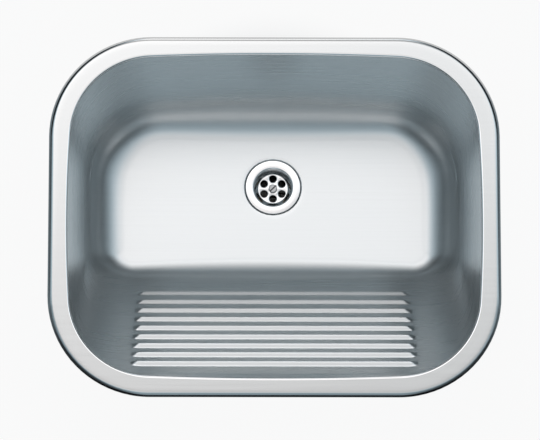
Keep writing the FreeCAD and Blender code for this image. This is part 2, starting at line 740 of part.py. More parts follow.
def clip_places():
    """Where each clip stands: expressions for x and y on the wall, and the angle it faces."""
    side = f"({HALF_WIDTH} + sizes.gauge)"
    end = f"({HALF_LENGTH} + sizes.gauge)"
    half = "(sizes.clip_spacing / 2)"
    return [
        (f"0 - {half}", end, 90),
        (half, end, 90),
        (side, "0", 0),
        (half, f"0 - {end}", -90),
        (f"0 - {half}", f"0 - {end}", -90),
        (f"0 - {side}", "0", 180),
    ]


def stand(body, place, height="0", outward="0"):
    """Turns a clip piece to face outward and stands it off the wall."""
    x, y, angle = place
    across, along = round(math.cos(math.radians(angle))), round(math.sin(math.radians(angle)))
    body.Placement.Rotation = FreeCAD.Rotation(Z_AXIS, angle)
    lift(body, height, x=f"{x} + {across} * {outward}", y=f"{y} + {along} * {outward}")


def make_clip_bracket(number, place):
    """A stirrup of bent strip: a foot under the rim, a web beside the wall and a shelf."""
    label = f"clip_bracket_{number}"
    body = new_body(label)
    inner = "sizes.clip_standoff"
    web = "(sizes.clip_standoff + sizes.bracket_gauge)"
    outer = "(sizes.clip_standoff + sizes.bracket_reach)"
    foot = f"({RIM_UNDER} - sizes.bracket_gauge)"
    shelf = f"({SHELF_UNDER} + sizes.bracket_gauge)"
    sketch = sketch_on(body, "XZ_Plane", f"{label}_profile")
    draw_polygon(sketch, [
        (inner, RIM_UNDER), (outer, RIM_UNDER), (outer, foot), (web, foot),
        (web, shelf), (outer, shelf), (outer, SHELF_UNDER), (inner, SHELF_UNDER),
    ])
    pad(body, sketch, f"{label}_strip", "sizes.bracket_width", midplane=True)
    levels = (value(RIM_UNDER), value(SHELF_UNDER))
    back = value(inner)

    def on_bend(edge):
        box = edge.BoundBox
        along_wall = abs(box.XMin - back) < 1e-4 and abs(box.XMax - back) < 1e-4
        return along_wall and any(at_height(edge, level) for level in levels)

    round_edges(body, f"{label}_bends", on_bend, "sizes.bracket_bend")
    hole = sketch_on(body, "XY_Plane", f"{label}_hole")
    draw_circle(hole, "hole", "sizes.clip_thread + 2 * sizes.clip_fit", SCREW_OUT, "0")
    cut_through(body, hole, f"{label}_holes")
    stand(body, place)
    return body


def make_clip_screw(number, place):
    """A slotted screw, head down, whose tip turns in the foot of the bracket."""
    label = f"clip_screw_{number}"
    body = new_body(label)
    shank, head = "(sizes.clip_thread / 2)", "(sizes.clip_head / 2)"
    tip = "(sizes.bracket_height - sizes.clip_gap)"
    under = "(0 - sizes.clip_head_height)"
    revolve(body, f"{label}_turned", [
        ("0", under), (head, under), (head, "0"), (shank, "0"), (shank, tip), ("0", tip),
    ])
    slot = sketch_on(body, "XZ_Plane", f"{label}_slot")
    half, depth = "(sizes.clip_slot / 2)", f"({under} + sizes.clip_slot)"
    draw_polygon(slot, [(f"0 - {half}", under), (half, under), (half, depth), (f"0 - {half}", depth)])
    cut_through(body, slot, f"{label}_slot_cut")
    stand(body, place, f"{SHELF_UNDER} - sizes.clip_fit", SCREW_OUT)
    return body


def make_clip_nut(number, place):
    """A square nut, kept from turning by the web, with a round collar for the claw."""
    label = f"clip_nut_{number}"
    body = new_body(label)
    half = "(sizes.nut_size / 2)"
    square = sketch_on(body, "XY_Plane", f"{label}_square")
    draw_polygon(square, [(f"0 - {half}", f"0 - {half}"), (half, f"0 - {half}"), (half, half),
                          (f"0 - {half}", half)])
    pad(body, square, f"{label}_block", "sizes.nut_height")
    collar_top = "(sizes.nut_height + sizes.claw_gauge + 2 * sizes.clip_fit)"
    collar = "(sizes.collar_diameter / 2)"
    lip = f"({collar} + sizes.collar_lip)"
    lip_top = f"({collar_top} + sizes.collar_lip)"
    revolve(body, f"{label}_collar", [
        ("0", "0"), (collar, "0"), (collar, collar_top), (lip, collar_top), (lip, lip_top), ("0", lip_top),
    ])
    bore = sketch_on(body, "XY_Plane", f"{label}_thread")
    draw_circle(bore, "thread", "sizes.clip_thread + 2 * sizes.clip_fit")
    cut_through(body, bore, f"{label}_bore")
    stand(body, place, NUT_UNDER, SCREW_OUT)
    return body


def make_clip_claw(number, place):
    """A strip that swings on the nut's collar, with a tooth turned up at its end; stowed along the wall."""
    label = f"clip_claw_{number}"
    body = new_body(label)
    half = "(sizes.nut_size / 2)"
    reach = "sizes.claw_reach"
    tooth = f"({reach} - sizes.claw_gauge)"
    arm = sketch_on(body, "XY_Plane", f"{label}_arm")
    draw_polygon(arm, [(f"0 - {half}", "0"), (half, "0"), (half, reach), (f"0 - {half}", reach)])
    pad(body, arm, f"{label}_strip", "sizes.claw_gauge")
    end = sketch_on(body, "XY_Plane", f"{label}_end")
    draw_circle(end, "end", "sizes.nut_size")
    pad(body, end, f"{label}_eye", "sizes.claw_gauge")
    point = sketch_on(body, "XY_Plane", f"{label}_point")
    draw_polygon(point, [(f"0 - {half}", tooth), (half, tooth), (half, reach), (f"0 - {half}", reach)])
    pad(body, point, f"{label}_tooth", "sizes.claw_tooth")
    hole = sketch_on(body, "XY_Plane", f"{label}_hole")
    draw_circle(hole, "hole", "sizes.collar_diameter + 2 * sizes.clip_fit")
    cut_through(body, hole, f"{label}_pivot")
    stand(body, place, CLAW_UNDER, SCREW_OUT)
    return body


# Assembly

def make_parts():
    parts = [
        make_sink_bowl(),
        make_rim_seal(),
        make_sound_pad("sound_pad_left", -1),
        make_sound_pad("sound_pad_right", 1),
        make_waste_strainer(),
        make_waste_screw(),
        make_ring("flange_gasket", "sizes.waste_hole", FLANGE_GASKET_WIDTH,
                  "sizes.flange_gasket_thickness", SEAT),
        make_ring("body_gasket", "sizes.waste_hole", "sizes.body_gasket_width",
                  "sizes.body_gasket_thickness", BODY_TOP),
        make_waste_body(),
        make_ring("screw_insert", "(sizes.screw_diameter + 2 * sizes.clip_fit)",
                  "((sizes.insert_diameter - sizes.screw_diameter) / 2 - sizes.clip_fit)",
                  "sizes.insert_length", f"{BOSS_TOP} - sizes.insert_length"),
    ]
    for number, place in enumerate(clip_places(), start=1):
        for make in (make_clip_bracket, make_clip_screw, make_clip_nut, make_clip_claw):
            parts.append(make(number, place))
    return parts


def check(parts):
    """Stops if any object failed, or if a piece is not one valid solid."""
    doc.recompute()
    for item in doc.Objects:
        if "Invalid" in item.State or "Error" in item.State:
            raise RuntimeError(f"{item.Label} failed: {item.State}")
    for part in parts:
        shape = part.Shape
        if shape.isNull() or not shape.isValid() or len(shape.Solids) != 1:
            raise RuntimeError(f"{part.Label} is not one valid solid")


def write(parts):
    os.makedirs("parts", exist_ok=True)
    for part in parts:
        part.Shape.exportStep(f"parts/{part.Label}.step")
        box = part.Shape.BoundBox
        print(f"{part.Label}: {part.Shape.Volume / 1000:.2f} cm3, z {box.ZMin:.1f} to {box.ZMax:.1f}")


parts = make_parts()
check(parts)
write(parts)
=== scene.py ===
# %% [markdown]
# # A laundry sink
# The real thing is one sheet of steel, pressed into a bowl with a sloped washboard at the front, with a
# strainer waste in its floor and clips under its rim. The packed CAD model is loaded first, as a fixed
# frame. Everything made below uses the same axes: X to the right, Y to the back, Z up, with zero on the
# worktop in the middle of the bowl.

# %% Load the frame
import math
from types import SimpleNamespace

import bmesh
import bpy
import numpy as np
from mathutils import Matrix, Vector


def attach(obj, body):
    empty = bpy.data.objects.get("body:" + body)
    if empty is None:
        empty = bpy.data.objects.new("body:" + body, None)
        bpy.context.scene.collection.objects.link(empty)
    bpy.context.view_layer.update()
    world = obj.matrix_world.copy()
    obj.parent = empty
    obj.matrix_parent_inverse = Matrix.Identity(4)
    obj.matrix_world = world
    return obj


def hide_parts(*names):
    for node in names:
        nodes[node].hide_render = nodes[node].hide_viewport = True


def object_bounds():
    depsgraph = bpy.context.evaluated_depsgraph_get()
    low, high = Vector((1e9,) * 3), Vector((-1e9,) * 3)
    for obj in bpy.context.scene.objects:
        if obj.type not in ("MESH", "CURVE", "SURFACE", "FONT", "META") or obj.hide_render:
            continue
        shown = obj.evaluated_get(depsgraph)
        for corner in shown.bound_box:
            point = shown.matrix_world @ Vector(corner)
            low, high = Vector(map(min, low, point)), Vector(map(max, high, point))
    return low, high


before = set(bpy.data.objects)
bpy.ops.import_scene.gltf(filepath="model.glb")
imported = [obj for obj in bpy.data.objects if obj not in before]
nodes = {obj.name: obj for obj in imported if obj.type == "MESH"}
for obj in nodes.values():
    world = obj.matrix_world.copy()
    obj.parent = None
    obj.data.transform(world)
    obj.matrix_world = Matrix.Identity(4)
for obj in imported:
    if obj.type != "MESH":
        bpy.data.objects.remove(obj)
cad_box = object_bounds()
scene = bpy.context.scene
MM = 0.001  # sizes below are written in millimetres, and Blender works in metres
print("CAD nodes:", len(nodes), "box in mm:", [[round(c / MM, 1) for c in corner] for corner in cad_box])

# %% [markdown]
# ## Camera
# The photograph looks steeply down from the front with a long lens, so the walls hardly converge. The
# angle, the distance and the focal length were fitted to the outline of the rim, the washboard and the
# waste. The focal length is kept in pixels of the photograph, since its sensor isn't known.

# %% Camera
PHOTO_WIDTH = 540
FOCAL_PIXELS = 4608.7
SENSOR_WIDTH = 36
FAR_CLIP = 30
CAMERA_DISTANCE = 5.5
CAMERA_ELEVATION = math.radians(77.5)
CAMERA_LEAN = math.radians(-0.5)  # the camera stood a little to the left
CAMERA_AIM = Vector((-5.39 * MM, -5.0 * MM, 0))

lens = bpy.data.cameras.new("camera")
lens.sensor_width = SENSOR_WIDTH
lens.lens = FOCAL_PIXELS * SENSOR_WIDTH / PHOTO_WIDTH
lens.clip_end = FAR_CLIP
camera = bpy.data.objects.new("camera", lens)
camera.rotation_euler = (math.pi / 2 - CAMERA_ELEVATION, CAMERA_LEAN, 0)
camera.location = CAMERA_AIM + camera.rotation_euler.to_matrix() @ Vector((0, 0, CAMERA_DISTANCE))
scene.collection.objects.link(camera)
scene.camera = camera
scene.view_settings.view_transform = "Standard"
print("lens:", round(lens.lens, 1), "mm")

# %% [markdown]
# ## Arithmetic on sockets
# Finishes, the studio and the repeated shapes are all node trees. Wiring each Math node by hand hides what
# is being worked out, so one small class wraps an output socket. Adding or multiplying two of them adds
# the Math node, and every other kind of node comes from its method named node.

# %% Sockets as values
class Wire:
    """An output socket of a node tree. Arithmetic on it adds Math nodes to that tree."""

    def __init__(self, tree, socket=None):
        self.tree = tree
        self.socket = socket

    def node(self, kind, numbered=None, output=0, **named):
        """Adds a node. Names in lower case are its settings, and names with a capital are its inputs, with
        underscores for spaces. Inputs that share a name come by their numbers."""
        made = self.tree.nodes.new(kind)
        inputs = dict(numbered or {})
        for name, given in named.items():
            if name[0].islower():
                setattr(made, name, given)
            else:
                inputs[name.replace("_", " ")] = given
        for name, given in inputs.items():
            if isinstance(given, Wire):
                self.tree.links.new(given.socket, made.inputs[name])
            else:
                made.inputs[name].default_value = given
        return Wire(self.tree, made.outputs[output] if len(made.outputs) else None)

    def other(self, output):
        """Another output of the node that this wire comes from."""
        return Wire(self.tree, self.socket.node.outputs[output])

    def math(self, operation, *values):
        return self.node("ShaderNodeMath", dict(enumerate(values)), operation=operation)

    def at_least(self, lowest):
        return self.math("MAXIMUM", self, lowest)

    def vector(self, **parts):
        return self.node("ShaderNodeCombineXYZ", **parts)

    def split(self):
        """The X, Y and Z of a vector."""
        x = self.node("ShaderNodeSeparateXYZ", Vector=self)
        return x, x.other("Y"), x.other("Z")

    def ramp(self, low, high, start=0.0, end=1.0):
        """A smooth step from start to end while this value goes from low to high."""
        return self.node("ShaderNodeMapRange", interpolation_type="SMOOTHSTEP", Value=self,
                         From_Min=low, From_Max=high, To_Min=start, To_Max=end)

    def __add__(self, other):
        return self.math("ADD", self, other)

    def __sub__(self, other):
        return self.math("SUBTRACT", self, other)

    def __rsub__(self, other):
        return self.math("SUBTRACT", other, self)

    def __mul__(self, other):
        return self.math("MULTIPLY", self, other)

    def __truediv__(self, other):
        return self.math("DIVIDE", self, other)

    __radd__ = __add__


print("Wire:", Wire.__doc__)

# %% Blends and distances
def blend_colour(share, first, second):
    """The first colour where the share is 0 and the second where it is 1."""
    ends = {0: share, 6: (*first, 1), 7: (*second, 1)}
    return share.node("ShaderNodeMix", ends, output=2, data_type="RGBA")


def weigh(first, second, share):
    """Two values mixed, with a fixed share of the first."""
    return first * share + second * (1 - share)


def grey_curve(position, curve, scale=1.0):
    """The value of a curve of positions and values, divided by a scale that keeps it from passing 1."""
    curved = position.node("ShaderNodeValToRGB", Fac=position)
    stops = curved.socket.node.color_ramp.elements
    while len(stops) < len(curve):
        stops.new(1.0)
    for stop, (place, level) in zip(stops, curve):
        stop.position = place
        stop.color = (*(level / scale,) * 3, 1.0)
    return curved


def reach(across, along):
    """Distance of a point from the middle."""
    return across.math("SQRT", across * across + along * along)


print("helpers for wires:", blend_colour.__name__, grey_curve.__name__, reach.__name__)

# %% [markdown]
# ## Studio
# Steel shows little of its own colour: it shows the room. Lamps would leave hard spots in it, so the room
# is a dome of soft light. It is dim at the front, with a dark band low down that draws the line along the
# bowl's back bend, and brightest in two bands, just behind overhead and low at the back. It falls off to
# the sides and in the corners, and turns a little blue to the sides and the front. Its foot is white, so
# that low views have a pale background. The pale floor looks white to the camera and to the metal, except
# under the waste, whose holes should look dark.

# %% Dome of soft light
# Brightness from the front horizon over the top, at 0.5, to the back horizon.
FRONT_TO_BACK = [
    (0.08, 1.0), (0.12, 0.02), (0.165, 0.02), (0.19, 0.5), (0.22, 0.62), (0.28, 0.56), (0.34, 0.54),
    (0.44, 1.1), (0.53, 1.1), (0.55, 0.95), (0.56, 1.15), (0.572, 1.75), (0.585, 2.1), (0.62, 2.0),
    (0.68, 1.3), (0.73, 0.8), (0.79, 0.68), (0.83, 1.35), (0.87, 2.3), (0.92, 2.3), (0.96, 1.2), (1.0, 0.6)]
# Share of it that is left from the left horizon over the top to the right horizon.
LEFT_TO_RIGHT = [
    (0.12, 0.14), (0.19, 0.2), (0.24, 0.28), (0.29, 0.44), (0.36, 0.54), (0.42, 0.82), (0.46, 1.0),
    (0.485, 1.0), (0.5, 0.93), (0.52, 0.82), (0.58, 0.74), (0.64, 0.64), (0.72, 0.54), (0.78, 0.36),
    (0.84, 0.22), (0.9, 0.12)]
BRIGHTEST = 2.3
# Each fade is where it starts and ends, and then its values there if they aren't 0 and 1.
BACK_CORNERS, FRONT_CORNERS = (0.1, 0.26, 0, 1.0), (-0.06, -0.26, 0, 0.6)
WHITE_FOOT, PALE_HORIZON = (0.17, 0.1), (0.36, 0.18, 0, 0.35)
CLEAR_BACK, CLEAR_MIDDLE = (0.36, 0.5), (0.5, 0.9)
DIM_TINT, BRIGHT_TINT = (0.72, 0.9, 1.0), (1.0, 0.972, 0.965)


def over_the_top(across, upward):
    """How far a direction is from one horizon over the top to the other, from 0 to 1."""
    return across.math("ARCTAN2", across, upward.at_least(0.0)) / math.pi + 0.5


studio = bpy.data.worlds.new("studio")
studio.use_nodes = True
studio.node_tree.nodes.clear()
scene.world = studio
to_right, to_back, upward = Wire(studio.node_tree).node("ShaderNodeTexCoord", output="Generated").split()
lean = over_the_top(to_back, upward)
front_to_back = grey_curve(lean, FRONT_TO_BACK, BRIGHTEST)
left_to_right = grey_curve(over_the_top(to_right, upward), LEFT_TO_RIGHT)
toward_corner = to_back * to_right.math("ABSOLUTE", to_right)
corner_loss = toward_corner.ramp(*BACK_CORNERS) + toward_corner.ramp(*FRONT_CORNERS)
above = front_to_back * left_to_right * BRIGHTEST * (1 - corner_loss)
white_foot = upward.ramp(*WHITE_FOOT)
glow = above.at_least(upward.ramp(*PALE_HORIZON).at_least(white_foot))
clear = lean.ramp(*CLEAR_BACK) * left_to_right.ramp(*CLEAR_MIDDLE)
tint = blend_colour(clear.at_least(white_foot), DIM_TINT, BRIGHT_TINT)
dome = glow.node("ShaderNodeBackground", Color=tint, Strength=glow)
dome.node("ShaderNodeOutputWorld", Surface=dome)
print("dome nodes:", len(studio.node_tree.nodes))

# %% Pale floor
FLOOR_HALF = 8.0  # metres
FLOOR_GAP = 1 * MM
PAPER_GREYS = [(0, 0.86), (1, 0.9)]
PAPER_CELLS, PAPER_DETAIL = 3.0, 2.0
WHITE_SHARE = 0.92  # the rest of the floor's brightness is real light, which keeps the object's shadow
WHITE_FADE = (0.06, 0.25)  # metres from the waste over which the white comes in
WASTE_Y = 80.0
SQUARE = [(-1, -1), (1, -1), (1, 1), (-1, 1)]


def new_finish(name):
    """An empty material, and the place of each point as a wire to build its tree from."""
    material = bpy.data.materials.new(name)
    material.use_nodes = True
    material.node_tree.nodes.clear()
    return material, Wire(material.node_tree).node("ShaderNodeTexCoord", output="Object")


def new_piece(name, points, faces, material):
    mesh = bpy.data.meshes.new(name)
    mesh.from_pydata(points.tolist(), [], faces)
    mesh.materials.append(material)
    piece = bpy.data.objects.new(name, mesh)
    scene.collection.objects.link(piece)
    return piece


def from_waste(place):
    """Distance from the axis of the waste."""
    x, y, _ = place.split()
    return reach(x, y - WASTE_Y * MM)


def floor_paper():
    """White where it is seen, directly or in the metal, and plain paper for all other light."""
    material, place = new_finish("floor_paper")
    rays = place.node("ShaderNodeLightPath", output="Is Camera Ray")
    seen = rays + rays.other("Is Glossy Ray") + rays.other("Is Transmission Ray")
    grain = place.node("ShaderNodeTexNoise", Scale=PAPER_CELLS, Detail=PAPER_DETAIL)
    lit = place.node("ShaderNodeBsdfDiffuse", Color=grey_curve(grain, PAPER_GREYS))
    white = place.node("ShaderNodeEmission", Strength=1.0)
    share = seen.math("MINIMUM", seen, 1.0) * from_waste(place).ramp(*WHITE_FADE, 0, WHITE_SHARE)
    surface = place.node("ShaderNodeMixShader", {0: share, 1: lit, 2: white})
    place.node("ShaderNodeOutputMaterial", Surface=surface)
    return material


floor_level = cad_box[0].z - FLOOR_GAP
floor_corners = np.array([(x * FLOOR_HALF, y * FLOOR_HALF, floor_level) for x, y in SQUARE])
floor = new_piece("floor", floor_corners, [(0, 1, 2, 3)], floor_paper())
print("floor at", round(floor_level / MM, 1), "mm")

# %% [markdown]
# ## Satin steel
# The bowl is brushed stainless steel. Its grain runs left to right on the rim, the floor and the washboard,
# and level round the walls. Two noises, each stretched along its grain, give fine lines and broader
# streaks. They vary the tone and the gloss, and the fine lines lean the surface a little, which smears
# reflections across the grain as real brushing does. How matt each part is comes with the mesh, in an
# attribute named satin: the edge of the mouth is polished, the rim is satin, and the walls and the floor
# are more matt. The tone follows that attribute as well, as painted light: the rim is painted darker than
# the rest, which is painted shade, and the edge of the mouth paler, which is a painted highlight.

# %% Satin steel
LINES, STREAKS, ALONG = 2200, 300, 7  # fine lines, broad streaks and lengthwise cells for each metre
LEVEL_FADE = (0.35, 0.6)  # upward part of the normal over which the grain turns from walls to level faces
# The tone is painted light: dark on the rim as painted shade, pale on the mouth's edge as a painted
# highlight.
PAINTED_RIM_SHADE_FADE, PAINTED_MOUTH_HIGHLIGHT_FADE = (0.18, 0.3), (0.11, 0.07)  # satin over which the tone gets paler than the rim's
STEEL_DARK, STEEL_PALE = (0.49, 0.505, 0.51), (0.8, 0.815, 0.82)
GRAIN_IN_TONE, GRAIN_IN_GLOSS = 0.3, 0.1
LINE_DEPTH = 0.002


def close_finish(material, place, **sockets):
    """Ends a material in a Principled BSDF."""
    place.node("ShaderNodeOutputMaterial", Surface=place.node("ShaderNodeBsdfPrincipled", **sockets))
    return material


def stretched_noise(place, scale, detail=2.0):
    """A noise squeezed by a different scale along each axis, in cells for each metre."""
    squeezed = place.node("ShaderNodeMapping", Vector=place, Scale=scale)
    return place.node("ShaderNodeTexNoise", Vector=squeezed, Scale=1.0, Detail=detail)


def bump(height, depth):
    return height.node("ShaderNodeBump", Height=height, Distance=depth * MM, Strength=1.0)


def brushed(place, level, cells):
    """Brushing with so many lines for each metre, across the walls and across the level faces."""
    walls = stretched_noise(place, (ALONG, ALONG, cells))
    flats = stretched_noise(place, (ALONG, cells, ALONG))
    return level.node("ShaderNodeMix", {0: level, 2: walls, 3: flats})


def satin_steel(name):
    material, place = new_finish(name)
    facing_up = place.node("ShaderNodeNewGeometry", output="Normal").split()[2]
    level = facing_up.math("ABSOLUTE", facing_up).ramp(*LEVEL_FADE)
    fine = brushed(place, level, LINES)
    grain = weigh(fine, brushed(place, level, STREAKS), 0.5)
    satin = place.node("ShaderNodeAttribute", attribute_name="satin", output="Fac")
    # Painted shade and painted highlight: the tone is darkest on the rim and palest on the polished mouth
    # edge.
    painted_shade_and_highlight = satin.ramp(*PAINTED_RIM_SHADE_FADE) + satin.ramp(*PAINTED_MOUTH_HIGHLIGHT_FADE)
    return close_finish(
        material, place,
        Base_Color=blend_colour(weigh(grain, painted_shade_and_highlight, GRAIN_IN_TONE), STEEL_DARK, STEEL_PALE),
        Metallic=1.0,
        Roughness=satin + (grain - 0.5) * GRAIN_IN_GLOSS,
        Normal=bump(fine, LINE_DEPTH))


bowl_steel = satin_steel("bowl_steel")
print("bowl steel nodes:", len(bowl_steel.node_tree.nodes))

# %% [markdown]
# ## Outlines of the bowl
# Seen from above, each level of the bowl is a rectangle with slightly bowed edges and round corners, and
# the walls run straight from one level to the next. So the bowl is a stack of rings. Every ring has the
# same number of points, shared out in the same way along its edges and corners, with extra points where
# the ends of the ribs will stand.

# %% Points round one half of a ring
def spread(*stretches):
    """Shares along an edge. Each stretch goes on to its end in so many steps, without the end itself."""
    starts = [0, *(end for end, _ in stretches)]
    return np.concatenate([np.linspace(start, end, steps, endpoint=False)
                           for start, (end, steps) in zip(starts, stretches)])


SIDE_BOW, END_BOW = 1700.0, 3500.0
FRONT_SHARES = spread((0.91, 8), (1, 10))
TURN_SHARES = spread((0.12, 8), (1, 18))
SIDE_SHARES = spread((1, 10))
BACK_TURN_SHARES = spread((1, 22))
BACK_SHARES = np.linspace(0, 1, 9)


def arc(centre, radius, start, end, shares):
    turn = start + (end - start) * shares
    return np.column_stack([centre[0] + radius * np.cos(turn), centre[1] + radius * np.sin(turn)])


def straight(start, end, shares):
    return np.outer(1 - shares, start) + np.outer(shares, end)


def heading(centre, point):
    return math.atan2(point[1] - centre[1], point[0] - centre[0])


def meeting_point(first, first_radius, second, second_radius, near):
    """Where two circles cross, taking the crossing that is nearer to a guess."""
    span = second - first
    distance = np.hypot(*span)
    along = (first_radius ** 2 - second_radius ** 2 + distance ** 2) / (2 * distance)
    across = math.sqrt(first_radius ** 2 - along ** 2)
    halfway = first + span * along / distance
    step = np.array([-span[1], span[0]]) * across / distance
    return min((halfway + step, halfway - step), key=lambda point: np.hypot(*(point - near)))


def front_half(half_width, front, turn, bowed, side):
    """The front edge of a half outline, the centre of its corner and the angle where the corner starts."""
    if bowed:
        near = np.array([0, END_BOW - front])
        guess = np.array([half_width - turn, turn - front])
        centre = meeting_point(side, SIDE_BOW - turn, near, END_BOW - turn, guess)
        leaves = heading(near, centre)
        return arc(near, END_BOW, -math.pi / 2, leaves, FRONT_SHARES), centre, leaves
    rise = turn - front - side[1]
    centre = side + (math.sqrt((SIDE_BOW - turn) ** 2 - rise ** 2), rise)
    return straight((0, -front), (centre[0], -front), FRONT_SHARES), centre, -math.pi / 2


def bowl_half(half_width, back, front, back_turn, front_turn, bowed=False):
    """The right half of a bowl outline, from the middle of the front round to the middle of the back."""
    side = np.array([half_width - SIDE_BOW, (back - front) / 2])
    far = np.array([0, back - END_BOW])
    guess = np.array([half_width - back_turn, back - back_turn])
    back_centre = meeting_point(side, SIDE_BOW - back_turn, far, END_BOW - back_turn, guess)
    front_edge, front_centre, leaves_front = front_half(half_width, front, front_turn, bowed, side)
    enters_side, leaves_side = heading(side, front_centre), heading(side, back_centre)
    enters_back = heading(far, back_centre)
    return np.concatenate([
        front_edge,
        arc(front_centre, front_turn, leaves_front, enters_side, TURN_SHARES),
        arc(side, SIDE_BOW, enters_side, leaves_side, SIDE_SHARES),
        arc(back_centre, back_turn, leaves_side, enters_back, BACK_TURN_SHARES),
        arc(far, END_BOW, enters_back, math.pi / 2, BACK_SHARES),
    ])


def at_level(flat, level):
    return np.column_stack([flat, np.full(len(flat), level)])


def ring(half, level):
    """A whole ring at a level: the right half and its mirror image."""
    left = half[-2:0:-1] * (-1, 1)
    return at_level(np.concatenate([half, left]), level)


print("points along the front and its corner:", len(FRONT_SHARES), len(TURN_SHARES))

# %% Outlines at the mouth, the shoulder and the floor
HALF_WIDTH, HALF_LENGTH, MOUTH_TURN = 247.25, 198.25, 100.0
RIM_TOP, DEPTH = 4.0, 200.0
SIDE_DRAFT, BACK_DRAFT = 25.5, 25.0
PANEL_DROP, PANEL_SETBACK, PANEL_TURN, PANEL_ANGLE = 14.0, 9.0, 85.0, math.radians(49)
BACK_FLOOR_TURN, FRONT_FLOOR_TURN = 92.0, 50.0

panel_share = PANEL_DROP / DEPTH
panel_level, floor_of_bowl = RIM_TOP - PANEL_DROP, RIM_TOP - DEPTH
panel_edge = HALF_LENGTH - PANEL_SETBACK
floor_front = panel_edge - (DEPTH - PANEL_DROP) / math.tan(PANEL_ANGLE)
shoulder_turn = MOUTH_TURN + (BACK_FLOOR_TURN - MOUTH_TURN) * panel_share
mouth = ring(bowl_half(HALF_WIDTH, HALF_LENGTH, HALF_LENGTH, MOUTH_TURN, MOUTH_TURN, bowed=True), RIM_TOP)
shoulder = ring(bowl_half(
    HALF_WIDTH - SIDE_DRAFT * panel_share, HALF_LENGTH - BACK_DRAFT * panel_share, panel_edge,
    shoulder_turn, PANEL_TURN), panel_level)
foot = ring(bowl_half(
    HALF_WIDTH - SIDE_DRAFT, HALF_LENGTH - BACK_DRAFT, floor_front,
    BACK_FLOOR_TURN, FRONT_FLOOR_TURN), floor_of_bowl)
print("points in a ring:", len(mouth), "floor front edge:", round(-floor_front, 1), "mm")

# %% [markdown]
# ## Bends
# A pressed sheet has no sharp inside corners. A bevel modifier would round every edge by the same rule, but
# here the rim bends on a small radius and the floor on a large one, along a corner whose angle changes all
# the way round. So each bend is worked out as a ball rolling along the corner: it touches both faces, and
# the rings of the bend lie on it. Along the floor the ball gets smaller towards the four corners.

# %% A ball rolling along a corner
TOUCH_ROUNDS = 4  # enough for the touching point to settle


def unit(vectors):
    return vectors / np.linalg.norm(vectors, axis=-1, keepdims=True)


def swing(start, end, share, turn):
    """A vector part of the way round an arc from one vector to another."""
    return (np.sin((1 - share) * turn) * start + np.sin(share * turn) * end) / np.sin(turn)


def rounded_path(corners, radii, steps=6):
    """A flat line through corners, each turned on its own radius."""
    corners = [np.array(corner, float) for corner in corners]
    points = []
    for index, (corner, radius) in enumerate(zip(corners, radii)):
        if radius == 0:
            points.append(corner)
            continue
        before = unit(corners[index - 1] - corner)
        after = unit(corners[(index + 1) % len(corners)] - corner)
        half = math.acos(np.clip(before @ after, -1, 1)) / 2
        middle = corner + unit(before + after) * radius / math.sin(half)
        setback = radius / math.tan(half)
        start, end = corner + before * setback - middle, corner + after * setback - middle
        for share in np.linspace(0, 1, steps + 1):
            points.append(middle + swing(start, end, share, math.pi - 2 * half))
    return np.array(points)


def section(inner, outer, bottom, top, radii, steps=6):
    """A rounded rectangle, with a radius for each corner from the inner bottom one onwards."""
    return rounded_path([(inner, bottom), (outer, bottom), (outer, top), (inner, top)], radii, steps)


def around(level_ring):
    """Travel along a ring at its points, leaning to the nearer neighbour where the points aren't even."""
    ahead = np.roll(level_ring, -1, axis=0) - level_ring
    behind = np.roll(ahead, 1, axis=0)
    ahead_length = np.linalg.norm(ahead, axis=1, keepdims=True)
    behind_length = np.linalg.norm(behind, axis=1, keepdims=True)
    direction = unit(ahead / ahead_length ** 2 + behind / behind_length ** 2)
    return direction * (ahead_length + behind_length)


def relax(points, rounds):
    """Evens out a ring of points, so that a tight corner doesn't fold over itself."""
    for _ in range(rounds):
        points = (np.roll(points, 1, axis=0) + 2 * points + np.roll(points, -1, axis=0)) / 4
    return points


def inward(upper, lower, share):
    """Unit normals, into the bowl, of the wall between two rings at a share of the way down."""
    along = around(upper) * (1 - share) + around(lower) * share
    return unit(np.cross(along, lower - upper))


def touch_wall(upper, lower, level, radius):
    """Where a ball that touches a level plane touches the wall: shares of the way down, and the normals."""
    share = np.zeros((len(upper), 1))
    for _ in range(TOUCH_ROUNDS):
        normal = inward(upper, lower, share)
        height = level + radius * (1 - normal[:, 2:])
        share = (upper[:, 2:] - height) / (upper[:, 2:] - lower[:, 2:])
    return share, normal


def bend_rings(centres, start, end, radius, steps):
    """Rings of a bend, swinging round their centres from one direction to another."""
    turn = np.arccos(np.clip(np.sum(start * end, axis=1, keepdims=True), -1, 1))
    return [centres + radius * swing(start, end, share, turn) for share in np.linspace(0, 1, steps + 1)]


print("helpers for bends:", rounded_path.__name__, touch_wall.__name__, bend_rings.__name__)

# %% Rings of the rim and the bends
RIM_HALF_WIDTH, RIM_HALF_LENGTH, RIM_TURN = 270.0, 220.0, 122.5
LIP_FOOT, LIP_TOP, LIP_ROUND = 0.3, 1.0, 0.4
BEVEL_RUN, BEVEL_ROUND, FLAT_RUN, RIM_STEPS = 4.0, 7.0, 4.0, 10
MOUTH_BEND, MOUTH_STEPS = 2.6, 9
FLOOR_BEND, FLOOR_STEPS, FLOOR_ROUNDS = 40.0, 16, 6
CORNER_EASE = 23.0  # how much tighter the floor bends in its corners
EASE_ACROSS, EASE_ALONG = 2, 6  # powers that keep the tighter bend to the corners
TINY = 1e-9  # a level ring has no height to divide by
UP = np.array([0.0, 0.0, 1.0])


def rim_half(inset):
    """The right half of the rim's outline, moved in from its edge."""
    across, along, turn = RIM_HALF_WIDTH - inset, RIM_HALF_LENGTH - inset, RIM_TURN - inset
    x, y = across - turn, along - turn
    return np.concatenate([
        straight((0, -along), (x, -along), FRONT_SHARES),
        arc((x, -y), turn, -math.pi / 2, 0, TURN_SHARES),
        straight((across, -y), (across, y), SIDE_SHARES),
        arc((x, y), turn, 0, math.pi / 2, BACK_TURN_SHARES),
        straight((x, along), (0, along), BACK_SHARES),
    ])


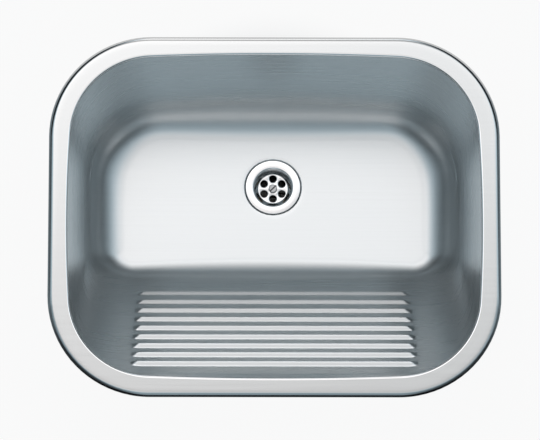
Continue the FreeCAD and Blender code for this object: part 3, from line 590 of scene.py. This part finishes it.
def eased_bend(level_ring):
    """The radius of the floor's bend at each point of a ring, tighter towards the corners."""
    middle = (level_ring.max(axis=0) + level_ring.min(axis=0)) / 2
    across, along = ((level_ring - middle) / (level_ring.max(axis=0) - middle + TINY)).T[:2]
    return (FLOOR_BEND - CORNER_EASE * across ** EASE_ACROSS * along ** EASE_ALONG)[:, None]


rim_path = rounded_path(
    [(0, LIP_FOOT), (0, LIP_TOP), (BEVEL_RUN, RIM_TOP), (BEVEL_RUN + FLAT_RUN, RIM_TOP)],
    [0, LIP_ROUND, BEVEL_ROUND, 0], RIM_STEPS)
rim_rings = [ring(rim_half(inset), level) for inset, level in rim_path]

mouth_share, mouth_normal = touch_wall(mouth, shoulder, RIM_TOP, -MOUTH_BEND)
mouth_touch = mouth + (shoulder - mouth) * mouth_share
up = np.broadcast_to(UP, mouth.shape)
mouth_rings = bend_rings(mouth_touch - MOUTH_BEND * mouth_normal, up, mouth_normal, MOUTH_BEND, MOUTH_STEPS)

eased = eased_bend(foot)
floor_share, floor_normal = touch_wall(shoulder, foot, floor_of_bowl, eased)
floor_touch = shoulder + (foot - shoulder) * floor_share
floor_middles = relax(floor_touch + eased * floor_normal, FLOOR_ROUNDS)
floor_radii = floor_middles[:, 2:] - floor_of_bowl
floor_rings = bend_rings(floor_middles, -floor_normal, -up, floor_radii, FLOOR_STEPS)
print("floor bends on", np.round(floor_radii.min(), 1), "to", np.round(floor_radii.max(), 1), "mm")

# %% [markdown]
# ## Bowl before the ribs
# Rings now run from the turned-down lip, over the rim, down the wall and across the floor to the waste
# hole. Rows are close together where a rib will be pressed and where a bend starts or ends, so that the
# smooth shading of a bend doesn't leak into the flat beside it. Each ring also carries its satin.

# %% Rings from the lip to the waste
RIB_COUNT, RIB_FIRST, RIB_PITCH = 9, 23.6, 21.35
RIB_ROWS = (-8.6, -7.9, -7.25, -6.6, -5.4, -3.5, -1.6, -1.0, -0.5, 0, 0.5, 1.0, 1.6, 2.8, 3.8, 4.5, 5.2)
SEAT_RADIUS, SEAT_DEPTH, SEAT_MARGIN, HOLE_RADIUS = 34.9, 2.0, 6.0, 26.5
SEAT_TOP_RUN, SEAT_FOOT_RUN = 0.7, 0.9
# These satins also paint the tone: the lip and the rim darker, as painted shade, the mouth's edge paler, as
# a painted highlight.
MOUTH_SATIN, EDGE_SATIN, RIM_SATIN = 0.07, 0.12, 0.16
WALL_SATIN, BEND_SATIN, FLOOR_SATIN = 0.28, 0.36, 0.32
FLOOR_ROWS = (0.03, 0.12, 0.25, 0.4, 0.55, 0.7, 0.85, 0.95)


def between(first, second, shares):
    return [first + (second - first) * share for share in shares]


def waste_ring(radius, level):
    """A circle round the waste, with its points in the same directions as the floor's."""
    outward = floor_rings[-1][:, :2] - (0, WASTE_Y)
    return at_level((0, WASTE_Y) + radius * unit(outward), level)


panel_length = (panel_level - floor_of_bowl) / math.sin(PANEL_ANGLE)
rib_middles = [RIB_FIRST + RIB_PITCH * index for index in range(RIB_COUNT)]
wall_shares = [(middle + row) / panel_length for middle in rib_middles for row in RIB_ROWS]
wall_rings = between(shoulder, foot, wall_shares)
seat_level = floor_of_bowl - SEAT_DEPTH
seat_path = rounded_path(
    [(SEAT_RADIUS + SEAT_MARGIN, floor_of_bowl), (SEAT_RADIUS + SEAT_TOP_RUN, floor_of_bowl),
     (SEAT_RADIUS - SEAT_FOOT_RUN, seat_level), (SEAT_RADIUS - SEAT_MARGIN, seat_level),
     (HOLE_RADIUS, seat_level)],
    [0, 1.2, 0.8, 0, 0], steps=4)
seat_rings = [waste_ring(radius, level) for radius, level in seat_path]

courses = [
    (rim_rings, EDGE_SATIN),
    (between(rim_rings[-1], mouth_rings[0], (0.3, 0.6, 0.94)), RIM_SATIN),
    (mouth_rings, MOUTH_SATIN),
    (between(mouth_rings[-1], shoulder, (0.12, 0.5, 0.85, 1)), WALL_SATIN),
    (between(shoulder, wall_rings[0], (0.15, 0.6)), WALL_SATIN),
    (wall_rings, WALL_SATIN),
    (between(wall_rings[-1], floor_rings[0], (0.5, 0.9)), WALL_SATIN),
    (floor_rings, BEND_SATIN),
    (between(floor_rings[-1], seat_rings[0], FLOOR_ROWS), FLOOR_SATIN),
    (seat_rings, FLOOR_SATIN),
]
bowl_rings = [level_ring for rings, _ in courses for level_ring in rings]
bowl_satin = [satin for rings, satin in courses for _ in rings]


def skin(rings, closed=False):
    """Points and quads of the surface through rings; closed joins the last ring to the first."""
    count = len(rings[0])
    rows = len(rings) if closed else len(rings) - 1
    faces = []
    for row in range(rows):
        upper, lower = row * count, (row + 1) % len(rings) * count
        for index in range(count):
            following = (index + 1) % count
            faces.append((upper + index, upper + following, lower + following, lower + index))
    return np.concatenate(rings) * MM, faces


bowl = new_piece("bowl", *skin(bowl_rings), bowl_steel)
satin = bowl.data.attributes.new("satin", "FLOAT", "POINT")
satin.data.foreach_set("value", np.repeat(bowl_satin, len(mouth)).astype(np.float32))
print("bowl rings:", len(bowl_rings), "faces:", len(bowl.data.polygons))

# %% [markdown]
# ## Ribs of the washboard
# Nine ribs are pressed out of the sloped panel at an even pitch. They could be modelled one by one and
# joined, but they are one sheet with the panel and follow one rule, so a Geometry Nodes tree lifts the
# panel's own points. For each point it finds the nearest rib, takes the lowest of that rib's two flanks,
# two sloped ends and flat crest, and raises the point to that height. Smooth minimum nodes round the edges.

# %% Trees that shape a piece
def make_tree(rule, labels, material):
    """A Geometry Nodes tree, whose rule turns the wires of a geometry and of its sizes into a shape."""
    tree = bpy.data.node_groups.new(rule.__name__, "GeometryNodeTree")
    for way in ("OUTPUT", "INPUT"):
        tree.interface.new_socket("Geometry", in_out=way, socket_type="NodeSocketGeometry")
    for label in labels:
        tree.interface.new_socket(label, in_out="INPUT", socket_type="NodeSocketFloat")
    entry = Wire(tree).node("NodeGroupInput")
    shape = rule(entry, SimpleNamespace(**{label: entry.other(label) for label in labels}))
    real = shape.node("GeometryNodeRealizeInstances", Geometry=shape)
    painted = shape.node("GeometryNodeSetMaterial", Geometry=real, Material=material)
    shape.node("NodeGroupOutput", Geometry=painted)
    return tree


def settle(piece):
    """Turns what a piece's modifiers make into its own plain mesh."""
    graph = bpy.context.evaluated_depsgraph_get()
    shaped = piece.evaluated_get(graph)
    mesh = bpy.data.meshes.new_from_object(shaped, preserve_all_data_layers=True, depsgraph=graph)
    piece.modifiers.clear()
    piece.data = mesh


def run_rule(piece, rule, lengths, **numbers):
    """Shapes a piece by a rule, with lengths in millimetres and plain numbers, and settles the result."""
    sizes = {label: length * MM for label, length in lengths.items()} | numbers
    modifier = piece.modifiers.new(rule.__name__, "NODES")
    modifier.node_group = make_tree(rule, sizes, piece.data.materials[0])
    for item in modifier.node_group.interface.items_tree:
        if item.name in sizes:
            modifier[item.identifier] = float(sizes[item.name])
    settle(piece)


def move_points(shape, amount, **direction):
    """Moves each point of a shape by an amount along a direction, given as X, Y and Z."""
    offset = shape.vector(**{axis: amount * part for axis, part in direction.items()})
    return shape.node("GeometryNodeSetPosition", Geometry=shape, Offset=offset)


print("helpers for trees:", make_tree.__name__, run_rule.__name__)

# %% Press the ribs
def press_ribs(shape, rib):
    x, y, z = shape.node("GeometryNodeInputPosition").split()
    forward, above = y - rib.front, z - rib.level
    down = forward * rib.cosine - above * rib.sine
    lift = forward * rib.sine + above * rib.cosine
    number = x.math("ROUND", (down - rib.first) / rib.pitch)
    number = x.math("MINIMUM", number.at_least(0.0), rib.count - 1)
    off = down - rib.first - number * rib.pitch
    upper = (rib.half_crest + rib.upper_run + off) / rib.upper_run * rib.height
    lower = (rib.half_crest + rib.lower_run - off) / rib.lower_run * rib.height
    half = (rib.length - number * rib.shorten) * 0.5
    ends = (half - x.math("ABSOLUTE", x)) / rib.end_run * rib.height
    form = x.math("SMOOTH_MIN", upper, lower, rib.rounding)
    form = x.math("SMOOTH_MIN", form, ends, rib.rounding)
    form = x.math("SMOOTH_MIN", form, rib.height, rib.rounding)
    rise = x.math("SMOOTH_MAX", form - lift, 0.0, rib.rounding)
    return move_points(shape, rise, Y=rib.sine, Z=rib.cosine)


run_rule(bowl, press_ribs, dict(
    front=-panel_edge, level=panel_level, first=RIB_FIRST, pitch=RIB_PITCH, length=344.0, shorten=1.25,
    height=3.2, half_crest=0.75, upper_run=6.5, lower_run=3.5, end_run=8.0, rounding=0.7,
), sine=math.sin(PANEL_ANGLE), cosine=math.cos(PANEL_ANGLE), count=RIB_COUNT)
print("bowl after pressing:", len(bowl.data.vertices), "points")

# %% [markdown]
# ## Sheet thickness
# So far the bowl is a surface with no thickness. Solidify gives it the 1 mm of the sheet on the side away
# from view, and closes the lip and the edge of the waste hole. Edges sharper than a bend stay sharp in the
# shading.

# %% Give the sheet its gauge
GAUGE = 1.0
SHARP = math.radians(42)

thicken = bowl.modifiers.new("gauge", "SOLIDIFY")
thicken.thickness = GAUGE * MM
thicken.offset = -1
settle(bowl)


def dress(piece, slot, *replaced, body="sink"):
    """Shades a finished piece and hands it to the frame in place of CAD nodes."""
    piece.data.shade_smooth()
    piece.data.set_sharp_from_angle(angle=SHARP)
    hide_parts(*replaced)
    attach(piece, body)
    triangles = sum(len(face.vertices) - 2 for face in piece.data.polygons)
    print(piece.name, "for", *replaced, "triangles:", triangles)


dress(bowl, "bowl_steel", "sink_bowl")

# %% [markdown]
# ## Other finishes
# The strainer is polished and turned, so its faint lines run in circles round the waste. Clips and screws
# are zinc plated, rubber and foam are dull and pitted, and the waste under the bowl is moulded in dark
# plastic with a slight grain. Each finish varies a little in colour and in gloss, because a single flat
# colour reads as a computer model.

# %% Metal finishes
TURNING_LINES, TURNED_CLOUD = 2500.0, 60  # for each metre
LINES_IN_GLOSS, CLOUD_IN_GLOSS = 0.06, 0.04
# Painted shade: the metal is darker below these heights in metres. The first pair lies below the whole
# sink.
NO_PAINTED_SHADE, SCREW_PAINTED_SHADE = (-0.301, -0.3), (-0.2032, -0.2025)
PAINTED_SHADE_TONE = 0.12
CRYSTALS, PLATED_CLOUD = 420.0, 90  # for each metre
PATCH_IN_TONE, PATCH_IN_PLATE, CLOUD_IN_PLATE = 0.6, 0.06, 0.12
PLATE_DEPTH = 0.02


def turned_metal(name, dark, light, gloss, painted_shade_heights=NO_PAINTED_SHADE):
    """Polished metal with turning lines round the waste, painted darker below the given heights: painted
    shade.
    """
    material, place = new_finish(name)
    lines = place.node("ShaderNodeTexNoise", noise_dimensions="1D",
                       W=from_waste(place) * TURNING_LINES, Scale=1.0, Detail=2.0)
    cloud = stretched_noise(place, (TURNED_CLOUD,) * 3)
    # Painted shade: below the given heights the colour is scaled down towards the shade tone.
    unshaded = place.split()[2].ramp(*painted_shade_heights, PAINTED_SHADE_TONE, 1)
    shade = blend_colour(cloud, dark, light)
    return close_finish(
        material, place,
        Base_Color=shade.node("ShaderNodeVectorMath", operation="SCALE", Vector=shade, Scale=unshaded),
        Metallic=1.0,
        Roughness=gloss + lines * LINES_IN_GLOSS + cloud * CLOUD_IN_GLOSS,
        Normal=bump(lines, LINE_DEPTH))


def plated_steel(name, dark, light, gloss):
    """Zinc plate, with its patches of slightly different crystals."""
    material, place = new_finish(name)
    crystals = place.node("ShaderNodeTexVoronoi", Vector=place, Scale=CRYSTALS, output="Color")
    patch = crystals.split()[0]
    cloud = stretched_noise(place, (PLATED_CLOUD,) * 3, detail=4.0)
    return close_finish(
        material, place,
        Base_Color=blend_colour(weigh(patch, cloud, PATCH_IN_TONE), dark, light),
        Metallic=1.0,
        Roughness=gloss + cloud * CLOUD_IN_PLATE + patch * PATCH_IN_PLATE,
        Normal=bump(cloud, PLATE_DEPTH))


strainer_steel = turned_metal("strainer_steel", (0.74, 0.745, 0.75), (0.8, 0.805, 0.81), gloss=0.12)
# The waste screw is painted darker in its slot and round the foot of its head, which is painted shade.
screw_steel = turned_metal("screw_steel", (0.38, 0.39, 0.4), (0.47, 0.475, 0.48), 0.26, SCREW_PAINTED_SHADE)
insert_brass = turned_metal("insert_brass", (0.74, 0.55, 0.24), (0.82, 0.63, 0.3), gloss=0.24)
clip_steel = plated_steel("clip_steel", (0.58, 0.59, 0.61), (0.7, 0.71, 0.72), gloss=0.3)
clip_screw_steel = plated_steel("clip_screw_steel", (0.66, 0.65, 0.6), (0.76, 0.75, 0.7), gloss=0.2)
print("metal finishes:", strainer_steel.name, screw_steel.name, insert_brass.name, clip_steel.name)

# %% Rubber, foam and plastic finishes
PITS_IN_CLOUD = 12  # a cloud is as wide as this many pits
CLOUD_IN_TONE, CLOUD_IN_DULL = 0.6, 0.2


def pitted(name, dark, light, cells, depth, rough):
    """A dull moulded finish with small pits, so many cells for each metre."""
    material, place = new_finish(name)
    pits = place.node("ShaderNodeTexVoronoi", feature="SMOOTH_F1", Vector=place, Scale=cells)
    cloud = stretched_noise(place, (cells / PITS_IN_CLOUD,) * 3, detail=3.0)
    return close_finish(
        material, place,
        Base_Color=blend_colour(weigh(cloud, pits, CLOUD_IN_TONE), dark, light),
        Roughness=rough + (cloud - 0.5) * CLOUD_IN_DULL,
        Normal=bump(pits, depth))


gasket_rubber = pitted(
    "gasket_rubber", (0.022, 0.022, 0.023), (0.05, 0.05, 0.05), cells=1500.0, depth=0.03, rough=0.62)
foam = pitted("foam", (0.15, 0.15, 0.155), (0.27, 0.27, 0.275), cells=1100.0, depth=0.2, rough=0.9)
bitumen = pitted("bitumen", (0.045, 0.045, 0.047), (0.11, 0.11, 0.11), cells=420.0, depth=0.25, rough=0.8)
waste_plastic = pitted(
    "waste_plastic", (0.018, 0.018, 0.019), (0.032, 0.032, 0.033), cells=900.0, depth=0.01, rough=0.4)
print("dull finishes:", gasket_rubber.name, foam.name, bitumen.name, waste_plastic.name)

# %% [markdown]
# ## Turned parts of the waste
# The flange, the gaskets and the cup under the bowl are all round. The Screw modifier could spin them, but
# the same rings that made the bowl do it here: a path goes anticlockwise round the section, with the axis
# on its left, so the faces always point outwards. Two rubber rings come first: a flat one under the flange
# and a thick one under the bowl.

# %% Gaskets
COLUMNS = 96
WELD = 0.001 * MM
FLANGE_UNDER = seat_level + 1.0
BODY_TOP = seat_level - 5.0
FLANGE_WASHER, BODY_WASHER = 33.0, 35.5


def circle(radius, level, centre, count):
    return at_level(arc(centre, radius, 0, 2 * math.pi, spread((1, count))), level)


def weld(piece):
    """Merges points that lie together, such as those of a ring on the axis."""
    mesh = bmesh.new()
    mesh.from_mesh(piece.data)
    bmesh.ops.remove_doubles(mesh, verts=mesh.verts, dist=WELD)
    mesh.to_mesh(piece.data)
    mesh.free()


def turned(name, path, material, centre=(0, WASTE_Y), count=COLUMNS, closed=True):
    """A turned part; closed joins the end of its path to the start."""
    rings = [circle(radius, level, centre, count) for radius, level in path]
    piece = new_piece(name, *skin(rings, closed), material)
    weld(piece)
    return piece


def washer(name, outside, bottom, top, edge, replaced):
    path = section(HOLE_RADIUS, outside, bottom, top, [edge] * 4)
    dress(turned(name, path, gasket_rubber), "gasket_rubber", replaced)


washer("flange_washer", FLANGE_WASHER, seat_level, FLANGE_UNDER, 0.25, "flange_gasket")
washer("body_washer", BODY_WASHER, BODY_TOP, seat_level - GAUGE, 0.8, "body_gasket")

# %% [markdown]
# ## Strainer
# One disc of steel, drawn down into a shallow dish and punched with six holes round the screw. Booleans
# would cut the holes but leave long thin faces behind. Instead a tree fills the outline between the
# circles, gives the plate its thickness and joins it to the turned dish. A small bevel takes the sharpness
# off the punched edges.

# %% Dish
SHEET, DISH_DEPTH = 1.5, 9.5
FLANGE_RADIUS, GRID_EDGE = 34.0, 17.4
DISH_FOOT, DISH_FOOT_UNDER = 18.5, 20.0
DISH_MOUTH, DISH_MOUTH_UNDER = 24.0, 25.5
flange_top = FLANGE_UNDER + SHEET
grid_top = flange_top - DISH_DEPTH
grid_under = grid_top - SHEET
dish_path = rounded_path(
    [(GRID_EDGE, grid_under), (DISH_FOOT_UNDER, grid_under), (DISH_MOUTH_UNDER, FLANGE_UNDER),
     (FLANGE_RADIUS, FLANGE_UNDER), (FLANGE_RADIUS, flange_top), (DISH_MOUTH, flange_top),
     (DISH_FOOT, grid_top), (GRID_EDGE, grid_top)],
    [0, 1.2, 1.2, 0.2, 0.7, 2.6, 0.9, 0], steps=7)
strainer = turned("strainer", dish_path, strainer_steel, closed=False)
print("dish:", len(strainer.data.polygons), "faces")

# %% Perforated plate
HOLE_POINTS, BORE_POINTS = 40, 32
NEARLY = 0.99  # what lies beyond this share of the plate's edge is its outer side
PLATE_WELD = 0.01 * MM
SOFT_EDGE, SOFT_STEPS, SOFT_ANGLE = 0.25, 2, math.radians(50)


def ring_curve(shape, radius, points):
    return shape.node("GeometryNodeCurvePrimitiveCircle", mode="RADIUS", Resolution=points, Radius=radius)


def join(*shapes):
    joined = shapes[0].node("GeometryNodeJoinGeometry")
    for shape in shapes:
        shape.tree.links.new(shape.socket, joined.socket.node.inputs[0])
    return joined


def shift(shape, translation, rotation=(0, 0, 0)):
    return shape.node("GeometryNodeTransform", Geometry=shape, Translation=translation, Rotation=rotation)


def punch_plate(dish, plate):
    spots = dish.node("GeometryNodeMeshCircle", Vertices=plate.holes, Radius=plate.hole_circle)
    spots = shift(spots, (0, 0, 0), (0, 0, math.pi / 2))
    hole = ring_curve(dish, plate.hole, HOLE_POINTS)
    holes = dish.node("GeometryNodeInstanceOnPoints", Points=spots, Instance=hole)
    outline = join(
        ring_curve(dish, plate.edge, COLUMNS),
        ring_curve(dish, plate.bore, BORE_POINTS),
        dish.node("GeometryNodeRealizeInstances", Geometry=holes))
    sheet = dish.node("GeometryNodeFillCurve", mode="TRIANGLES", Curve=outline)
    turned_over = dish.node("GeometryNodeFlipFaces", Mesh=sheet)
    under = dish.node(
        "GeometryNodeExtrudeMesh", Mesh=turned_over, Offset_Scale=plate.sheet, Individual=False)
    x, y, _ = dish.node("GeometryNodeInputPosition").split()
    spare = x.math("GREATER_THAN", reach(x, y), plate.edge * NEARLY) * under.other("Side")
    under = dish.node("GeometryNodeDeleteGeometry", domain="FACE", Geometry=under, Selection=spare)
    punched = shift(join(sheet, under), dish.vector(Y=plate.middle, Z=plate.level))
    return dish.node("GeometryNodeMergeByDistance", Geometry=join(dish, punched), Distance=PLATE_WELD)


run_rule(strainer, punch_plate, dict(
    edge=GRID_EDGE, level=grid_top, sheet=SHEET, middle=WASTE_Y, hole=4.8, hole_circle=12.7, bore=3.3,
), holes=6)
soften = strainer.modifiers.new("punched_edges", "BEVEL")
soften.width = SOFT_EDGE * MM
soften.segments = SOFT_STEPS
soften.limit_method = "ANGLE"
soften.angle_limit = SOFT_ANGLE
settle(strainer)
dress(strainer, "strainer_steel", "waste_strainer")

# %% [markdown]
# ## Waste body
# Under the bowl hangs a moulded cup with a flange, a boss on three arms for the long screw, and a threaded
# tail for the trap. The cup is turned. A tree adds the arms, and a second tree cuts the thread: it pulls
# each point of the tail inwards by a wave that climbs one pitch in each turn. The clip screws follow the
# same rule.

# %% Cup, boss and arms
CUP, CUP_WALL, CUP_FLOOR = 27.5, 3.0, BODY_TOP - 24.5
CUP_FLANGE, CUP_FLANGE_UNDER = 38.0, BODY_TOP - 4.0
TAIL, TAIL_BORE, TAIL_TOP, TAIL_END = 23.9, 20.0, BODY_TOP - 35.5, BODY_TOP - 63.5
TAIL_EDGE, TAIL_ROWS, TAIL_PITCH = 0.9, 130, 25.4 / 11  # eleven turns to the inch
BOSS, BOSS_BORE, BOSS_TOP, BOSS_END, BOSS_COLUMNS = 7.5, 4.55, BODY_TOP - 8.5, BODY_TOP - 22.5, 48


def rows_between(start, end, count):
    """Points along a straight run of a path, without its ends."""
    return straight(np.array(start), np.array(end), np.linspace(0, 1, count + 2)[1:-1])


cup_path = rounded_path(
    [(CUP + CUP_WALL, CUP_FLOOR), (CUP + CUP_WALL, CUP_FLANGE_UNDER), (CUP_FLANGE, CUP_FLANGE_UNDER),
     (CUP_FLANGE, BODY_TOP), (CUP, BODY_TOP), (CUP, CUP_FLOOR), (TAIL_BORE, TAIL_TOP),
     (TAIL_BORE, TAIL_END), (TAIL, TAIL_END)],
    [1.5, 1.2, 0.8, 0.6, 0.5, 1.5, 2.0, 0.6, 0.8])
tail_rows = rows_between((TAIL, TAIL_END + TAIL_EDGE), (TAIL, TAIL_TOP), TAIL_ROWS)
waste = turned("waste_cup", np.concatenate([tail_rows, cup_path]), waste_plastic)
boss_path = section(BOSS_BORE, BOSS, BOSS_END, BOSS_TOP, [0.2, 0.6, 0.8, 0.3])
boss = turned("waste_boss", boss_path, waste_plastic, count=BOSS_COLUMNS)


def spread_arms(hub, arm):
    length = arm.end - arm.start
    block = hub.node("GeometryNodeMeshCube", Size=hub.vector(X=length, Y=arm.width, Z=arm.height))
    block = shift(block, hub.vector(X=arm.start + length * 0.5, Z=arm.height * 0.5))
    middle = hub.vector(Y=arm.middle, Z=arm.level)
    spots = hub.node("GeometryNodePoints", Count=arm.count, Position=middle)
    turn = hub.vector(Z=hub.node("GeometryNodeInputIndex") * (2 * math.pi) / arm.count)
    arms = hub.node("GeometryNodeInstanceOnPoints", Points=spots, Instance=block, Rotation=turn)
    return join(hub, arms)


run_rule(boss, spread_arms, dict(
    start=6.0, end=CUP + CUP_WALL / 2, width=4.0, height=8.0, middle=WASTE_Y, level=BOSS_END,
), count=3)
print("boss with its arms:", len(boss.data.polygons), "faces")

# %% Thread on the tail
RIGHT_HANDED, LEFT_HANDED = 1, -1
GROOVE = (0.2, 0.8)  # from the crest to the root, as shares of half a pitch
SKIN_BELOW, SKIN_ABOVE = 0.12 * MM, 0.04 * MM  # only points within this skin of the crest are cut


def cut_thread(shape, thread):
    x, y, z = shape.node("GeometryNodeInputPosition").split()
    across, along = x - thread.x, y - thread.y
    radius = reach(across, along)
    turns = x.math("ARCTAN2", along, across) / (2 * math.pi) * thread.hand
    ridge = x.math("PINGPONG", z / thread.pitch - turns, 0.5) * 2.0
    outside = radius.ramp(thread.crest - SKIN_BELOW, thread.crest - SKIN_ABOVE)
    fade_in = z.ramp(thread.bottom, thread.bottom + thread.fade)
    fade_out = z.ramp(thread.top, thread.top - thread.fade)
    cut = ridge.ramp(*GROOVE) * outside * (fade_in * fade_out) * thread.depth
    return move_points(shape, cut, X=0.0 - across / radius, Y=0.0 - along / radius)


def merge(piece, *others):
    whole = bmesh.new()
    for part in (piece, *others):
        whole.from_mesh(part.data)
    whole.to_mesh(piece.data)
    whole.free()
    for part in others:
        bpy.data.objects.remove(part)


run_rule(waste, cut_thread, dict(
    x=0, y=WASTE_Y, crest=TAIL, depth=1.2, pitch=TAIL_PITCH, bottom=TAIL_END + 1.2, top=TAIL_TOP - 3,
    fade=1.5), hand=RIGHT_HANDED)
merge(waste, boss)
dress(waste, "waste_plastic", "waste_body")

# %% [markdown]
# ## Seal and pads
# A strip of soft foam runs round under the rim, and two heavy pads are stuck under the floor to deaden the
# drumming of water. The strip follows the outline of the rim at a fixed distance, so it is more rings, with
# soft edges. Each pad is a square of rings with rounded corners and closed faces.

# %% Foam strip
SEAL_OUTSIDE, SEAL_WIDTH, SEAL_TOP = 4.933, 4.0, RIM_TOP - GAUGE
seal_inside = SEAL_OUTSIDE + SEAL_WIDTH
seal_path = section(-seal_inside, -SEAL_OUTSIDE, 0, SEAL_TOP, [0.9, 0.9, 0.5, 0.5], steps=4)
seal_rings = [ring(rim_half(-out), level) for out, level in seal_path]
seal = new_piece("foam_strip", *skin(seal_rings, closed=True), foam)
dress(seal, "foam", "rim_seal")

# %% Sound pads
PAD_HALF, PAD_CORNER, PAD_THICK, PAD_X = 50.0, 4.0, 2.5, 101.0
PAD_MARGIN = 8.0
pad_top = floor_of_bowl - GAUGE
pad_foot = pad_top - PAD_THICK


def pad_ring(inset, level, centre):
    half = PAD_HALF - inset
    corners = [(half, -half), (half, half), (-half, half), (-half, -half)]
    return at_level(rounded_path(corners, [PAD_CORNER] * 4) + centre, level)


def pad(name, x):
    path = section(-PAD_MARGIN, 0, pad_foot, pad_top, [0, 0.9, 0.3, 0])
    rings = [pad_ring(-out, level, (x, WASTE_Y)) for out, level in path]
    points, faces = skin(rings)
    count = len(rings[0])
    bottom = tuple(reversed(range(count)))
    top = tuple(range(len(points) - count, len(points)))
    return new_piece(name, points, [*faces, bottom, top], bitumen)


dress(pad("pad_left", -PAD_X), "bitumen", "sound_pad_left")
dress(pad("pad_right", PAD_X), "bitumen", "sound_pad_right")

# %% [markdown]
# ## Clip screws
# Six clips hold the sink down to a worktop. Their brackets, nuts and claws are plain bent and pressed
# shapes, and keep the CAD meshes. The screws get what CAD leaves out: a real thread, left-handed, which
# climbs 2 mm in a turn, and a driver slot in the head. The slot is cut by a boolean, because a slot is a
# straight cut across a round head.

# %% Clip screws with threads and slots
CLIP_BACK, CLIP_SIDE, CLIP_APART = 207.05, 256.05, 120.0
CLIP_PLACES = [
    (-CLIP_APART, CLIP_BACK), (CLIP_APART, CLIP_BACK), (CLIP_SIDE, 0),
    (CLIP_APART, -CLIP_BACK), (-CLIP_APART, -CLIP_BACK), (-CLIP_SIDE, 0)]
HEAD, HEAD_TOP, HEAD_HEIGHT = 3.5, -49.05, 2.6
SHANK, SHANK_TOP, SHANK_ROWS, SHANK_COLUMNS, TIP_BEVEL = 2.0, 2.65, 200, 28, 0.5
SLOT_LENGTH, SLOT_WIDTH, SLOT_DEPTH = 10.0, 1.0, 1.0
head_under = HEAD_TOP - HEAD_HEIGHT
tip = SHANK_TOP - TIP_BEVEL
screw_path = np.concatenate([
    rounded_path([(0, head_under), (HEAD, head_under), (HEAD, HEAD_TOP), (SHANK, HEAD_TOP)],
                 [0, 0.8, 0.3, 0], steps=4),
    rows_between((SHANK, HEAD_TOP), (SHANK, tip), SHANK_ROWS),
    [(SHANK, tip), (SHANK - TIP_BEVEL, SHANK_TOP), (0, SHANK_TOP)]])


def slot_cutter(middle, along_x):
    """A block as wide as the driver slot, across the bottom of a screw head."""
    size = (SLOT_LENGTH, SLOT_WIDTH) if along_x else (SLOT_WIDTH, SLOT_LENGTH)
    points = [(middle[0] + x * size[0] / 2, middle[1] + y * size[1] / 2, head_under + SLOT_DEPTH * z)
              for z in (-1, 1) for x, y in SQUARE]
    faces = [(3, 2, 1, 0), (4, 5, 6, 7), (0, 1, 5, 4), (1, 2, 6, 5), (2, 3, 7, 6), (3, 0, 4, 7)]
    return new_piece("slot_cutter", np.array(points) * MM, faces, clip_screw_steel)


def clip_screw(number, middle):
    screw = turned(
        f"threaded_screw_{number}", screw_path, clip_screw_steel, middle, SHANK_COLUMNS, closed=False)
    run_rule(screw, cut_thread, dict(
        x=middle[0], y=middle[1], crest=SHANK, depth=0.32, pitch=2.0, bottom=HEAD_TOP + 2.5,
        top=SHANK_TOP - 0.3, fade=1.0), hand=LEFT_HANDED)
    cutter = slot_cutter(middle, along_x=abs(middle[0]) > CLIP_APART)
    cut = screw.modifiers.new("slot", "BOOLEAN")
    cut.object = cutter
    settle(screw)
    bpy.data.objects.remove(cutter)
    dress(screw, "clip_screw_steel", f"clip_screw_{number}", body=f"screw_{number}")


for number, middle in enumerate(CLIP_PLACES, start=1):
    clip_screw(number, middle)

# %% [markdown]
# ## Finishes of the CAD nodes
# What is left keeps its CAD mesh and only gets its finish.

# %% Dress the CAD nodes
cad_finishes = {"waste_screw": screw_steel, "screw_insert": insert_brass}
clip_finishes = {"bracket": clip_steel, "claw": clip_steel, "nut": clip_screw_steel}
for number in range(1, len(CLIP_PLACES) + 1):
    cad_finishes |= {f"clip_{part}_{number}": finish for part, finish in clip_finishes.items()}
for name, finish in cad_finishes.items():
    nodes[name].data.materials.clear()
    nodes[name].data.materials.append(finish)
print("CAD nodes dressed:", len(cad_finishes))

# %% [markdown]
